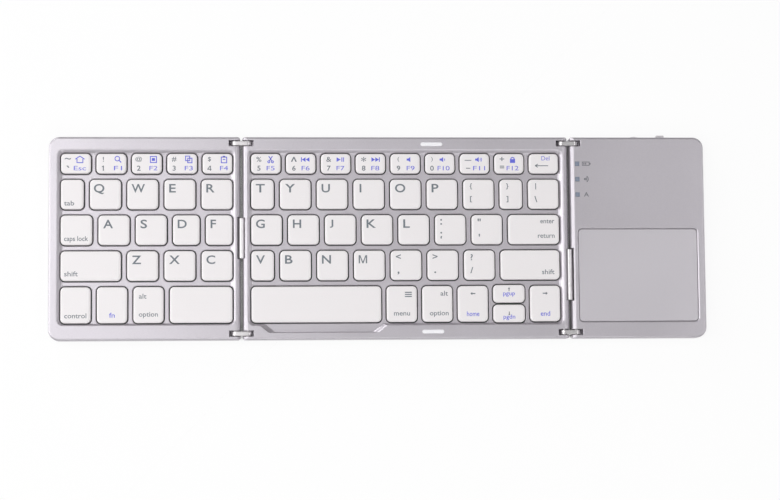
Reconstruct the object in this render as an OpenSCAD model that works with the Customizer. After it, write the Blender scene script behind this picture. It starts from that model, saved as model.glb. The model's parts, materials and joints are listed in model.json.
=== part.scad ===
// Tri-fold pocket keyboard: a centre panel with a key panel hinged on its left
// and a touchpad panel hinged on its right. +X runs to the right, +Y to the rear,
// +Z up. The origin is under the middle of the open keyboard, on the table.

/* [Keys] */
// Width of a letter key
key_w = 14.2; // [10:0.1:17]
// Depth of a letter key, front to rear
key_d = 13.7; // [10:0.1:17]
// Gap between neighbouring keys
key_gap = 2.8; // [2.4:0.05:4]
// Gap between the narrow keys of the number row and the arrow block
narrow_gap = 2.45; // [2.2:0.05:4]
// Depth of a number key
number_key_d = 9.2; // [7:0.05:12]
// Depth of a key in the bottom row
bottom_key_d = 16.6; // [15:0.1:20]
// Width of the tab key
tab_w = 10.5; // [8.6:0.1:14]
// Width of the caps lock key
caps_w = 14.4; // [10:0.1:17]
// Width of the three modifier keys at the bottom left
modifier_w = 13.8; // [10:0.1:16]
// Width of the two narrow keys that start their row on the centre panel
narrow_w = 10.5; // [8:0.1:13]
// Width of the closing bracket key
bracket_w = 10.5; // [8:0.1:13]
// Width of the wide space key on the centre panel
space_w = 59.8; // [45:0.1:66]
// Width of the up and down keys
arrow_w = 14.7; // [11:0.1:16]
// Depth of the up and down keys
arrow_d = 8.25; // [7:0.05:8.6]
// Gap between the up and down keys
arrow_gap = 0.9; // [0.6:0.05:1.4]
// Corner radius of a key, seen from above
key_r = 2.0; // [1:0.1:3]
// Rounding of a key's top edge
key_edge = 0.45; // [0.2:0.05:0.8]
// Height of a key above the deck, which is also how far it travels
key_travel = 1.4; // [1:0.1:1.6]
// Height of a keycap from its skirt to its top
key_h = 2.8; // [2.6:0.1:3.2]
// Wall of a keycap's skirt
key_wall = 0.9; // [0.6:0.05:1.2]
// Thickness of a keycap's top
key_top = 1.1; // [0.8:0.05:1.3]
// Clearance round a key in its hole in the deck
key_clear = 0.45; // [0.3:0.05:0.6]

/* [Panels] */
// Margin from the outer edge of the left panel to its keys
side_margin = 5.5; // [5.4:0.1:9]
// Margin from the rear edge to the keys
rear_margin = 7.8; // [7.6:0.1:12]
// Margin from the front edge to the keys
front_margin = 7.9; // [7.2:0.1:12]
// Margin from the left panel's keys to its fold line
left_fold_margin = 4.1; // [4.1:0.1:7]
// Margin from the left fold line to the centre panel's keys
centre_fold_margin = 4.45; // [4.1:0.05:7]
// Margin from the centre panel's keys to the right fold line
right_fold_margin = 4.8; // [4.1:0.1:8]
// Gap left between the two outer panels when both lie folded on the centre
closed_gap = 0.3; // [0.2:0.1:1.2]
// Thickness of a panel without its feet
case_t = 7.5; // [7.2:0.1:9]
// Radius of the keyboard's four outer corners
corner_r = 5; // [3:0.5:8]
// Radius of the panel corners beside the fold lines
inner_corner_r = 1.3; // [1.2:0.1:2]
// Rounding of the top edge
top_edge = 1.1; // [0.6:0.1:1.2]
// Rounding of the bottom edge
bottom_edge = 0.8; // [0.4:0.1:1.2]
// Rounding of the top edges beside the fold lines
fold_edge = 2.4; // [1.6:0.1:2.5]
// Wall of the casings
wall = 1.6; // [1.2:0.1:2]
// Floor of the bottom covers
floor_t = 1.0; // [0.8:0.1:1.2]
// Height of the bottom covers
cover_h = 2.3; // [2:0.1:2.5]
// Thickness of the deck between the keys
deck_t = 1.1; // [0.9:0.1:1.3]
// Depth of the key recess below the rim
recess_depth = 1.7; // [1.7:0.1:2]
// Space between the keys and the recess wall at the side
recess_side = 1.9; // [1.2:0.1:3]
// Space between the keys and the recess wall at the rear
recess_rear = 2.2; // [1.2:0.1:2.4]
// Space between the keys and the recess wall at the front
recess_front = 1.2; // [1:0.1:1.6]
// Corner radius of the recess at the rim
recess_r = 3.2; // [2:0.1:4]
// Corner radius of the recess at the deck
recess_floor_r = 1.2; // [0.6:0.1:1.6]
// Width of the slope from the rim down to the deck at an outer side
side_slope = 2.8; // [1:0.1:3]
// Width of the slope down to the deck beside a fold line
fold_slope = 2.4; // [1:0.1:2.6]
// Width of the slope down to the deck at the rear
rear_slope = 2.5; // [1:0.1:2.8]
// Width of the slope down to the deck at the front
front_slope = 1.1; // [0.6:0.1:1.4]
// Width of the thumb notch where it meets the recess
notch_w = 58.8; // [40:0.1:60]
// Depth of the thumb notch in the front rim
notch_d = 3.2; // [2:0.1:3.4]
// How far each end of the thumb notch slants inwards
notch_slant = 4.0; // [2:0.1:5]
// Width of the slope at each end of the thumb notch
notch_bank = 1.3; // [0.5:0.1:2]
// Distance from the space key's left end to the start of the thumb notch
notch_x = 3.9; // [2:0.1:6]
// Distance from a fold line to the recess
fold_rim = 2.6; // [2.5:0.1:3.6]
// Wall of the casings beside a fold line
fold_wall = 2.1; // [2:0.1:2.6]

/* [Hinges] */
// Height of the pivots above the bottom of the panels
pivot_h = 4.9; // [4.7:0.1:5.2]
// Gap between the rims of two folded panels
fold_gap = 0.4; // [0.4:0.1:1]
// Gap between two panels that lie open
open_gap = 1.0; // [0.8:0.1:1.4]
// Radius of the ends of a hinge link
link_r = 2.0; // [1.6:0.1:2.1]
// Thickness of a hinge link
link_t = 2.1; // [1.6:0.1:2.4]
// Distance from the front or rear edge to the middle of a link
link_inset = 2.9; // [2.6:0.1:3.2]
// Clearance on each side of a link in its slot
link_side_clear = 0.3; // [0.2:0.05:0.4]
// Clearance beyond the end of a link in its slot
link_end_clear = 0.9; // [0.4:0.1:1.2]
// Clearance under a link in its slot
link_under_clear = 0.3; // [0.2:0.05:0.4]
// Radius of a hinge pin
pin_r = 0.8; // [0.6:0.05:0.9]
// Length of a hinge pin
pin_l = 4.2; // [3.6:0.1:4.4]
// Running clearance round a hinge pin
pin_clear = 0.05; // [0.02:0.01:0.1]
// Radius of the cable sleeves in the folds
sleeve_r = 1.55; // [1.2:0.05:1.7]
// Radius of the hole through a cable sleeve
sleeve_bore_r = 0.9; // [0.5:0.05:1]
// Length of the left cable sleeve
left_sleeve_l = 18.8; // [12:0.1:28]
// Length of the right cable sleeve
right_sleeve_l = 23.7; // [12:0.1:30]
// Place of the right cable sleeve's middle, front to rear
right_sleeve_y = -17.2; // [-20:0.1:10]
// Clearance between a cable sleeve and the panel that swings past it
sleeve_clear = 0.3; // [0.2:0.05:0.5]

/* [Touchpad panel] */
// Margin from the right fold line to the touchpad
pad_fold_margin = 4.3; // [3.8:0.1:8]
// Margin from the touchpad to the right edge
pad_side_margin = 3.8; // [3.2:0.1:8]
// Depth of the touchpad, front to rear
pad_d = 42.8; // [35:0.1:50]
// Thickness of the touchpad plate
pad_t = 1.2; // [1:0.1:1.4]
// Corner radius of the touchpad
pad_r = 1.6; // [1:0.1:3]
// Gap round the touchpad
pad_clear = 0.15; // [0.1:0.05:0.3]
// Thickness of the touchpad's sensor board
pad_board_t = 1.0; // [0.8:0.1:1.2]
// Thickness of the top of the touchpad panel
skin_t = 1.6; // [1.4:0.1:1.8]
// Side of a square indicator window
led_w = 2.0; // [1.5:0.1:2.2]
// Gap round an indicator window
led_clear = 0.05; // [0.02:0.01:0.1]
// Distance between indicator windows
led_pitch = 7.2; // [5:0.1:8]
// Distance from the right fold line to the indicator windows
led_x = 4.1; // [4:0.1:6]
// Distance from the rear edge to the first indicator window
led_y = 12.5; // [9:0.1:14]
// Width of the battery cell
battery_w = 38; // [28:0.5:48]
// Depth of the battery cell
battery_d = 30; // [20:0.5:36]
// Thickness of the battery cell
battery_t = 3.2; // [2.4:0.1:3.6]
// Thickness of the main board
board_t = 1.0; // [0.8:0.1:1.2]
// Height of the main board above the floor
board_lift = 0.4; // [0.3:0.1:0.6]
// Width of the power switch's knob
switch_w = 3.8; // [3:0.1:5]
// Height of the power switch's knob
switch_h = 1.8; // [1.2:0.1:2]
// How far the knob stands out of the rear edge
switch_out = 1.1; // [0.6:0.1:1.5]
// Travel of the power switch
switch_travel = 2.0; // [1:0.1:2.5]
// Distance from the right edge to the middle of the knob
switch_x = 20; // [20:0.1:24]
// Width of the pairing button
button_w = 3.8; // [3:0.1:5]
// Height of the pairing button
button_h = 1.8; // [1.2:0.1:2]
// How far the pairing button stands out of the rear edge
button_out = 0.5; // [0.4:0.05:0.8]
// Travel of the pairing button
button_travel = 0.4; // [0.2:0.05:0.4]
// Distance from the right edge to the middle of the button
button_x = 32.3; // [32:0.1:36]
// Clearance round the knob and the button in the rear wall
rear_clear = 0.15; // [0.1:0.05:0.3]
// Width of the charging socket's shell
socket_w = 7.6; // [6:0.1:9]
// Height of the charging socket's shell
socket_h = 2.8; // [2.4:0.1:2.9]
// Depth of the charging socket's shell
socket_d = 5.6; // [5:0.1:8]
// Sheet thickness of the charging socket's shell
socket_wall = 0.3; // [0.2:0.05:0.4]
// Distance from the right edge to the middle of the socket
socket_x = 9.3; // [9:0.1:11]

/* [Feet and bumpers] */
// Height of the feet below the panels
foot_h = 0.5; // [0.3:0.1:1]
// Depth of the pockets that hold the feet and the bumpers
pad_pocket = 0.4; // [0.2:0.05:0.5]
// Radius of a foot
foot_r = 3; // [2:0.1:4]
// Distance from a panel's edges to the middle of a foot
foot_inset = 7; // [6:0.1:12]
// Length of a fold bumper
bumper_l = 10.2; // [6:0.1:14]
// Width of a fold bumper
bumper_w = 1.9; // [1.2:0.1:2]
// How far a fold bumper stands above the rim
bumper_out = 0.3; // [0.1:0.05:0.35]
// Distance from the front or rear edge to the middle of a bumper
bumper_inset = 3.4; // [2.8:0.1:4]
// Height of a rubber dome
dome_h = 3.0; // [2.6:0.1:3.2]
// Radius of a rubber dome's foot
dome_r = 3.0; // [2:0.1:3.2]
// Radius of a rubber dome's top
dome_top_r = 1.5; // [1:0.1:2]
// Thickness of the switch sheet under the domes
sheet_t = 0.8; // [0.4:0.1:1]

/* [Hidden] */
$fn = 64;
SILVER = "#c9c5cb";
STEEL = "#d6d4d3";
KEY_WHITE = "#f0eeec";
RUBBER = "#efeef0";
CIRCUIT = "#3d6b52";
over = 1; // how far a cut runs past the face that it opens
skim = 0.01; // thickness of the outlines that a slope runs between
pin_end_clear = 0.1; // clearance beyond each end of a pin in its bore
flange_t = 0.7; // flange that keeps the knob and the button behind the rear wall
flange_lap = 0.7; // how far that flange reaches past its opening
flange_clear = 0.1; // gap between that flange and the rear wall
cavity_r = 1; // corner radius inside the casings
pad_lap = 1; // how far the sensor board reaches past the touchpad
board_clear = 0.3; // least gap between that board and the hinge block in front of it
chip_gap = 0.6; // space for a lamp under each indicator window
loose = 0.4; // space round a sheet or board inside a casing
post_inset = 5; // from the main board's edges to the posts under it
post_r = 1.5; // radius of those posts
knob_r = 0.5; // corner radius of the power switch's knob
tongue_w = 4.8; // width of the tongue in the charging socket
tongue_t = 0.6; // thickness of that tongue
tongue_back = 1; // how far the tongue stays back from the mouth
led_lip = 0.5; // lip that holds an indicator window under the top
body_d = 3; // depth of the switch bodies on the main board
body_h = 2.4; // height of those bodies

function sum(v, n) = n <= 0 ? 0 : v[n - 1] + sum(v, n - 1);

// Widths: the two outer panels have to fit side by side on the centre panel.
pitch = key_w + key_gap;
left_keys_w = tab_w + 4 * pitch;
centre_keys_w = narrow_w + key_gap + 6 * pitch + bracket_w + key_gap + key_w;
left_w = side_margin + left_keys_w + left_fold_margin;
centre_w = centre_fold_margin + centre_keys_w + right_fold_margin;
right_w = centre_w - left_w - closed_gap;
total_w = left_w + centre_w + right_w;
x_left = -total_w / 2;
x_right = total_w / 2;
fold_left = x_left + left_w;
fold_right = x_right - right_w;
left_keys_x = x_left + side_margin;
centre_keys_x = fold_left + centre_fold_margin;

// Depths: five rows of keys between the margins.
row_d = [number_key_d, key_d, key_d, key_d, bottom_key_d];
keys_d = sum(row_d, len(row_d)) + (len(row_d) - 1) * key_gap;
total_d = rear_margin + keys_d + front_margin;
y_rear = total_d / 2;
y_front = -y_rear;
function row_y(row) = y_rear - rear_margin - sum(row_d, row + 1) - row * key_gap;

// Heights, from the table up.
z_bottom = foot_h;
z_floor = z_bottom + floor_t;
z_part = z_bottom + cover_h;
z_rim = z_bottom + case_t;
z_deck = z_rim - recess_depth;
z_cavity = z_deck - deck_t;
z_key = z_deck + key_travel;
z_skirt = z_key - key_h;
z_sheet = z_floor + sheet_t;
z_dome = z_sheet + dome_h;
z_skin = z_rim - skin_t;
z_board = z_floor + board_lift;
z_parts = z_board + board_t;
z_pivot = z_bottom + pivot_h;

// Hinges: each fold turns about two pivots, one in each panel.
pivot_gap = 2 * (z_rim - z_pivot) + fold_gap;
pivot_x = pivot_gap / 2;
slot_reach = pivot_x + link_r + link_end_clear;
link_y = y_rear - link_inset;
block_w = slot_reach + wall;
block_d = link_inset + pin_l / 2 + wall;

// Rows of keys, as widths from left to right.
left_number_w = (left_keys_w - 4 * narrow_gap) / 5;
short_w = (left_keys_w - caps_w - 2 * key_w - 4 * key_gap) / 2;
centre_number_w = (centre_keys_w - 8 * narrow_gap) / 9;
end_w = (centre_keys_w - space_w - arrow_w - 5 * narrow_gap) / 4;
six_letters = [for (i = [0:5]) key_w];
left_gaps = [narrow_gap, key_gap, key_gap, key_gap, key_gap];
left_rows = [
    [for (i = [0:4]) left_number_w],
    [tab_w, key_w, key_w, key_w, key_w],
    [caps_w, key_w, key_w, short_w, short_w],
    [left_keys_w - 3 * pitch, key_w, key_w, key_w],
    [modifier_w, modifier_w, modifier_w, left_keys_w - 3 * (modifier_w + key_gap)]
];
centre_gaps = [narrow_gap, key_gap, key_gap, key_gap, narrow_gap];
centre_rows = [
    [for (i = [0:8]) centre_number_w],
    concat(narrow_w, six_letters, bracket_w, key_w),
    concat(six_letters, key_w, centre_keys_w - 7 * pitch),
    concat(narrow_w, six_letters, centre_keys_w - narrow_w - key_gap - 6 * pitch),
    [space_w, end_w, end_w, end_w, arrow_w, end_w]
];

// A key is [x, y, width, depth] of its top's lower left corner and size, on a grid of
// a hundredth of a millimetre.
function on_grid(v) = round(v * 100) / 100;
function key_at(x0, widths, gap, row, i) = [
    on_grid(x0 + sum(widths, i) + i * gap), row_y(row), on_grid(widths[i]), row_d[row]
];
function left_key(row, i) =
    key_at(left_keys_x, left_rows[row], left_gaps[row], row, i);
function centre_key(row, i) =
    key_at(centre_keys_x, centre_rows[row], centre_gaps[row], row, i);
arrow_x = centre_key(4, 4)[0];
arrow_y = row_y(4) + bottom_key_d / 2;
up_key = [arrow_x, arrow_y + arrow_gap / 2, arrow_w, arrow_d];
down_key = [arrow_x, arrow_y - arrow_gap / 2 - arrow_d, arrow_w, arrow_d];
left_numbers = [for (i = [0:4]) left_key(0, i)];
left_functions = concat(
    [left_key(1, 0), left_key(2, 0), left_key(3, 0)],
    [for (i = [0:3]) left_key(4, i)]
);
centre_numbers = [for (i = [0:8]) centre_key(0, i)];
centre_punctuation = concat(
    [for (i = [6:8]) centre_key(1, i)],
    [for (i = [5:6]) centre_key(2, i)],
    [for (i = [4:6]) centre_key(3, i)]
);
centre_functions = [
    centre_key(3, 7), centre_key(4, 1), centre_key(4, 2), centre_key(4, 3),
    up_key, down_key, centre_key(4, 5)
];
left_keys = concat(
    left_numbers, left_functions,
    [for (i = [1:4]) left_key(1, i)],
    [for (i = [1:4]) left_key(2, i)],
    [for (i = [1:3]) left_key(3, i)]
);
centre_keys = concat(
    centre_numbers, centre_punctuation, centre_functions,
    [for (i = [0:5]) centre_key(1, i)],
    [for (i = [0:4]) centre_key(2, i)],
    [for (i = [0:3]) centre_key(3, i)],
    [centre_key(2, 7), centre_key(4, 0)]
);

// ---- shapes used by several pieces ----

// Quarter disc in the corner of +X and +Y
module quarter(r) {
    intersection() {
        circle(r);
        square(r);
    }
}

// Rectangle from p0 to p1 with radius r[0] on its left corners and r[1] on its right ones
module rounded_plan(p0, p1, r) {
    translate([p0[0] + r[0], p0[1]])
        square([p1[0] - p0[0] - r[0] - r[1], p1[1] - p0[1]]);
    translate([p0[0], p0[1] + r[0]])
        square([r[0], p1[1] - p0[1] - 2 * r[0]]);
    translate([p1[0] - r[1], p0[1] + r[1]])
        square([r[1], p1[1] - p0[1] - 2 * r[1]]);
    for (y = [0, 1]) {
        translate([p0[0] + r[0], y == 0 ? p0[1] + r[0] : p1[1] - r[0]])
            circle(r[0]);
        translate([p1[0] - r[1], y == 0 ? p0[1] + r[1] : p1[1] - r[1]])
            circle(r[1]);
    }
}

// Block from p0 to p1 with rounded upright corners
module plain_block(p0, p1, r) {
    translate([0, 0, p0[2]])
        linear_extrude(p1[2] - p0[2])
            rounded_plan(p0, p1, r);
}

// Quarter-round bar along +Y
module edge_bar(length, e) {
    translate([0, length, 0])
        rotate([90, 0, 0])
            linear_extrude(length)
                quarter(e);
}

// Block from p0 to p1 with rounded upright corners and a rounded top edge
module soft_block(p0, p1, r, e) {
    top = p1[2] - e;
    corners = [
        [p1[0] - r[1], p1[1] - r[1], r[1]], [p0[0] + r[0], p1[1] - r[0], r[0]],
        [p0[0] + r[0], p0[1] + r[0], r[0]], [p1[0] - r[1], p0[1] + r[1], r[1]]
    ];
    plain_block(p0, [p1[0], p1[1], top], r);
    plain_block([p0[0] + e, p0[1] + e, top], [p1[0] - e, p1[1] - e, p1[2]], r - [e, e]);
    for (k = [0:3]) {
        c = corners[k];
        before = corners[(k + 3) % 4];
        translate([c[0], c[1], top])
            rotate([0, 0, 90 * k])
                rotate_extrude(angle = 90)
                    translate([c[2] - e, 0])
                        quarter(e);
        // the straight edge that ends at this corner
        translate([before[0], before[1], top])
            rotate([0, 0, 90 * k])
                translate([before[2] - e, 0, 0])
                    edge_bar(abs(k % 2 == 0 ? c[1] - before[1] : c[0] - before[0]), e);
    }
}

// One keycap: a hollow cap with a boss that stands on its dome
module keycap(k) {
    inner_r = key_r - key_wall;
    color(KEY_WHITE) {
        difference() {
            soft_block([k[0], k[1], z_skirt], [k[0] + k[2], k[1] + k[3], z_key],
                [key_r, key_r], key_edge);
            plain_block([k[0] + key_wall, k[1] + key_wall, z_skirt - over],
                [k[0] + k[2] - key_wall, k[1] + k[3] - key_wall, z_key - key_top],
                [inner_r, inner_r]);
        }
        translate([k[0] + k[2] / 2, k[1] + k[3] / 2, z_dome])
            cylinder(r = dome_top_r, h = z_key - key_top - z_dome);
    }
}

module keycaps(keys) {
    for (k = keys) keycap(k);
}

// Openings in the deck for a list of keys, with their clearance
module key_holes(keys) {
    r = key_r + key_clear;
    for (k = keys)
        plain_block([k[0] - key_clear, k[1] - key_clear, z_cavity - over],
            [k[0] + k[2] + key_clear, k[1] + k[3] + key_clear, z_rim], [r, r]);
}

// Side view of a panel edge beside a fold line at x = 0, the panel lying at -X
module fold_profile(reach) {
    face = -open_gap / 2;
    translate([-reach, 0])
        square([reach + face - fold_edge, z_rim]);
    translate([-reach, 0])
        square([reach + face, z_rim - fold_edge]);
    translate([face - fold_edge, z_rim - fold_edge])
        circle(fold_edge);
}

// ---- panels: [left edge, right edge], their fold lines and their corners ----

left_panel = [x_left, fold_left - open_gap / 2];
centre_panel = [fold_left + open_gap / 2, fold_right - open_gap / 2];
right_panel = [fold_right + open_gap / 2, x_right];

// A fold line is [x, side], and side says where the panel lies: 1 at +X, -1 at -X.
left_lines = [[fold_left, -1]];
centre_lines = [[fold_left, 1], [fold_right, -1]];
right_lines = [[fold_right, 1]];
left_r = [corner_r, inner_corner_r];
centre_r = [inner_corner_r, inner_corner_r];
right_r = [inner_corner_r, corner_r];
left_walls = [wall, fold_wall];
centre_walls = [fold_wall, fold_wall];
right_walls = [fold_wall, wall];

// A sleeve is [fold line, middle in Y, length].
left_sleeve = [fold_left, 0, left_sleeve_l];
right_sleeve = [fold_right, right_sleeve_y, right_sleeve_l];

// Box at a distance of x[0] to x[1] from a fold line, on its panel's side
module beside(line, x, y, z) {
    translate([line[0] + (line[1] > 0 ? x[0] : -x[1]), y[0], z[0]])
        cube([x[1] - x[0], y[1] - y[0], z[1] - z[0]]);
}

// Everything on the panel's side of a fold line, with the top edge rounded
module fold_side(line) {
    translate([line[0], y_rear + over, 0])
        mirror([line[1] > 0 ? 1 : 0, 0, 0])
            rotate([90, 0, 0])
                linear_extrude(total_d + 2 * over)
                    fold_profile(total_w);
}

// Upper half of a panel before anything is cut out of it
module casing_top(panel, r, lines) {
    intersection() {
        soft_block([panel[0], y_front, z_part], [panel[1], y_rear, z_rim], r, top_edge);
        intersection_for(line = lines) fold_side(line);
    }
}

// The room inside the upper half, up to a given height, with solid corners for the hinges
module cavity(panel, walls, lines, top) {
    difference() {
        plain_block([panel[0] + walls[0], y_front + wall, z_part - over],
            [panel[1] - walls[1], y_rear - wall, top], [cavity_r, cavity_r]);
        for (line = lines, s = [0, 1])
            mirror([0, s, 0])
                beside(line, [0, block_w], [y_rear - block_d, y_rear], [0, z_rim]);
    }
}

// Slots for the hinge links and bores for their pins, in the panel beside a fold line
module hinge_cuts(line) {
    half = link_t / 2 + link_side_clear;
    bore_l = pin_l + 2 * pin_end_clear;
    for (s = [-1, 1]) {
        beside(line, [0, slot_reach], [s * link_y - half, s * link_y + half],
            [z_pivot - link_r - link_under_clear, z_rim + over]);
        translate([line[0] + line[1] * pivot_x, s * link_y, z_pivot])
            rotate([90, 0, 0])
                cylinder(r = pin_r + pin_clear, h = bore_l, center = true);
    }
}

// Groove that a cable sleeve lies in, in the edge of the centre panel
module sleeve_seat(line, sleeve) {
    y = [sleeve[1] - sleeve[2] / 2, sleeve[1] + sleeve[2] / 2];
    translate([sleeve[0], sleeve[1], z_pivot])
        rotate([90, 0, 0])
            cylinder(r = sleeve_r, h = sleeve[2], center = true);
    beside(line, [0, sleeve_r], y, [z_pivot, z_rim + over]);
}

// Notch in the edge of an outer panel, which the cable sleeve stays clear of
module sleeve_notch(line, sleeve) {
    reach = sleeve[2] / 2 + sleeve_clear;
    room = sleeve_r + sleeve_clear;
    beside(line, [0, room], [sleeve[1] - reach, sleeve[1] + reach],
        [z_pivot - room, z_rim + over]);
}

// Recess that holds the keys, from x0 to x1 at the rim; slope is the width of its left and
// right slopes down to the deck
module key_recess(x0, x1, slope) {
    y0 = row_y(4) - recess_front;
    y1 = y_rear - rear_margin + recess_rear;
    hull($fn = 32) {
        plain_block([x0, y0, z_rim - skim], [x1, y1, z_rim], [recess_r, recess_r]);
        plain_block([x0 + slope[0], y0 + front_slope, z_deck],
            [x1 - slope[1], y1 - rear_slope, z_deck + skim],
            [recess_floor_r, recess_floor_r]);
    }
    plain_block([x0, y0, z_rim - skim], [x1, y1, z_rim + over], [recess_r, recess_r]);
}

// Pocket or pad with round ends, lying along X
module pill(centre, l, w, z0, z1) {
    translate([0, 0, z0])
        linear_extrude(z1 - z0) {
            translate(centre)
                square([l - w, w], center = true);
            for (s = [-1, 1])
                translate([centre[0] + s * (l - w) / 2, centre[1]])
                    circle(w / 2);
        }
}

// ---- bottom covers and feet ----

module foot_discs(panel, z0, z1) {
    for (x = [panel[0] + foot_inset, panel[1] - foot_inset], s = [-1, 1])
        translate([x, s * (y_rear - foot_inset), z0])
            cylinder(r = foot_r, h = z1 - z0);
}

module bottom_cover(panel, r) {
    color(SILVER)
        difference() {
            translate([0, 0, z_bottom + z_part])
                mirror([0, 0, 1])
                    soft_block([panel[0], y_front, z_bottom],
                        [panel[1], y_rear, z_part], r, bottom_edge);
            plain_block([panel[0] + wall, y_front + wall, z_floor],
                [panel[1] - wall, y_rear - wall, z_part + over], [cavity_r, cavity_r]);
            foot_discs(panel, z_bottom - over, z_bottom + pad_pocket);
        }
}

module feet(panel) {
    color(RUBBER)
        foot_discs(panel, 0, z_bottom + pad_pocket);
}

module left_bottom_cover() bottom_cover(left_panel, left_r);
module centre_bottom_cover() bottom_cover(centre_panel, centre_r);

// The touchpad panel's cover also has posts under the main board.
module right_bottom_cover() {
    bottom_cover(right_panel, right_r);
    color(SILVER)
        for (x = [board_x[0] + post_inset, board_x[1] - post_inset],
             y = [board_y[0] + post_inset, board_y[1] - post_inset])
            translate([x, y, z_floor])
                cylinder(r = post_r, h = board_lift);
}

module left_feet() feet(left_panel);
module centre_feet() feet(centre_panel);
module right_feet() feet(right_panel);

// ---- key panels ----

module left_frame() {
    color(SILVER)
        difference() {
            casing_top(left_panel, left_r, left_lines);
            key_recess(left_keys_x - recess_side, fold_left - fold_rim,
                [side_slope, fold_slope]);
            key_holes(left_keys);
            cavity(left_panel, left_walls, left_lines, z_cavity);
            hinge_cuts(left_lines[0]);
            sleeve_notch(left_lines[0], left_sleeve);
        }
}

// Outline of the thumb notch, with its ends drawn in
module notch_plan(inset) {
    x0 = centre_keys_x + notch_x + inset;
    x1 = centre_keys_x + notch_x + notch_w - inset;
    y = row_y(4) - recess_front;
    polygon([
        [x0, y + front_slope], [x0, y], [x0 + notch_slant, y - notch_d],
        [x1 - notch_slant, y - notch_d], [x1, y], [x1, y + front_slope]
    ]);
}

// Notch that lets a thumb reach the space key over the front rim
module thumb_notch() {
    hull() {
        translate([0, 0, z_deck])
            linear_extrude(skim)
                notch_plan(notch_bank);
        translate([0, 0, z_rim])
            linear_extrude(over)
                notch_plan(0);
    }
}

// The two outer panels meet over the bumpers when they are folded in.
module bumper_pills(z0, z1) {
    for (s = [-1, 1])
        pill([fold_left + left_w, s * (y_rear - bumper_inset)], bumper_l, bumper_w, z0, z1);
}

module centre_frame() {
    color(SILVER)
        difference() {
            casing_top(centre_panel, centre_r, centre_lines);
            key_recess(fold_left + fold_rim, fold_right - fold_rim,
                [fold_slope, fold_slope]);
            thumb_notch();
            key_holes(centre_keys);
            cavity(centre_panel, centre_walls, centre_lines, z_cavity);
            for (line = centre_lines) hinge_cuts(line);
            sleeve_seat(centre_lines[0], left_sleeve);
            sleeve_seat(centre_lines[1], right_sleeve);
            bumper_pills(z_rim - pad_pocket, z_rim + over);
        }
}

module fold_bumpers() {
    color(RUBBER)
        bumper_pills(z_rim - pad_pocket, z_rim + bumper_out);
}

// Sheet with the key contacts, lying on the floor of a cover
module switch_sheet(panel) {
    inset = wall + loose;
    color(CIRCUIT)
        plain_block([panel[0] + inset, y_front + inset, z_floor],
            [panel[1] - inset, y_rear - inset, z_sheet], [cavity_r, cavity_r]);
}

// One rubber dome under each key
module domes(keys) {
    color(RUBBER)
        for (k = keys)
            translate([k[0] + k[2] / 2, k[1] + k[3] / 2, z_sheet])
                cylinder(r1 = dome_r, r2 = dome_top_r, h = dome_h);
}

module left_switch_sheet() switch_sheet(left_panel);
module centre_switch_sheet() switch_sheet(centre_panel);
module left_domes() domes(left_keys);
module centre_domes() domes(centre_keys);

// ---- hinges ----

// Two flat links, front and rear, each with a hole at both ends
module hinge_links(x) {
    color(STEEL)
        for (s = [-1, 1])
            translate([x, s * link_y + link_t / 2, z_pivot])
                rotate([90, 0, 0])
                    linear_extrude(link_t)
                        difference() {
                            union() {
                                square([pivot_gap, 2 * link_r], center = true);
                                for (e = [-1, 1])
                                    translate([e * pivot_x, 0])
                                        circle(link_r);
                            }
                            for (e = [-1, 1])
                                translate([e * pivot_x, 0])
                                    circle(pin_r);
                        }
}

module hinge_pins(x) {
    color(STEEL)
        for (s = [-1, 1], e = [-1, 1])
            translate([x + e * pivot_x, s * link_y, z_pivot])
                rotate([90, 0, 0])
                    cylinder(r = pin_r, h = pin_l, center = true);
}

module left_hinge_links() hinge_links(fold_left);
module right_hinge_links() hinge_links(fold_right);
module left_hinge_pins() hinge_pins(fold_left);
module right_hinge_pins() hinge_pins(fold_right);

// Tubes in the folds that lead the cables across
module cable_sleeves() {
    color(STEEL)
        for (sleeve = [left_sleeve, right_sleeve])
            translate([sleeve[0], sleeve[1], z_pivot])
                rotate([90, 0, 0])
                    difference() {
                        cylinder(r = sleeve_r, h = sleeve[2], center = true);
                        cylinder(r = sleeve_bore_r, h = sleeve[2] + over, center = true);
                    }
}

// ---- touchpad panel ----

pad_x = [fold_right + pad_fold_margin, x_right - pad_side_margin];
pad_y = [row_y(4), row_y(4) + pad_d];
board_x = [right_panel[0] + fold_wall + loose, x_right - wall - loose];
board_y = [pad_y[1] + pad_lap + loose, y_rear - wall - loose];
led_spots = [for (i = [0:2]) [fold_right + led_x, y_rear - led_y - i * led_pitch]];
switch_at = x_right - switch_x;
button_at = x_right - button_x;
socket_at = x_right - socket_x;
control_z = (z_parts + z_skin) / 2;
flange_y = y_rear - wall - flange_clear - flange_t;

module touchpad() {
    color("#bab8bf")
        plain_block([pad_x[0], pad_y[0], z_skin],
            [pad_x[1], pad_y[1], z_skin + pad_t], [pad_r, pad_r]);
}

module touchpad_board() {
    front = max(pad_y[0] - pad_lap, y_front + block_d + board_clear);
    color(CIRCUIT)
        plain_block([pad_x[0] - pad_lap, front, z_skin - pad_board_t],
            [pad_x[1] + pad_lap, pad_y[1] + pad_lap, z_skin], [pad_r, pad_r]);
}

module battery() {
    middle = (pad_x[0] + pad_x[1]) / 2;
    front = pad_y[0] + pad_lap;
    color("#8f959c")
        plain_block([middle - battery_w / 2, front, z_floor],
            [middle + battery_w / 2, front + battery_d, z_floor + battery_t],
            [cavity_r, cavity_r]);
}

module main_board() {
    room = loose + block_w;
    color(CIRCUIT) {
        difference() {
            plain_block([board_x[0], board_y[0], z_board],
                [board_x[1], board_y[1], z_parts], [cavity_r, cavity_r]);
            beside(right_lines[0], [0, room], [y_rear - block_d - loose, y_rear],
                [z_board - over, z_parts + over]);
        }
        switch_body(switch_at, switch_w, flange_clear);
        switch_body(button_at, button_w, button_travel + flange_clear);
    }
}

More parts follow.
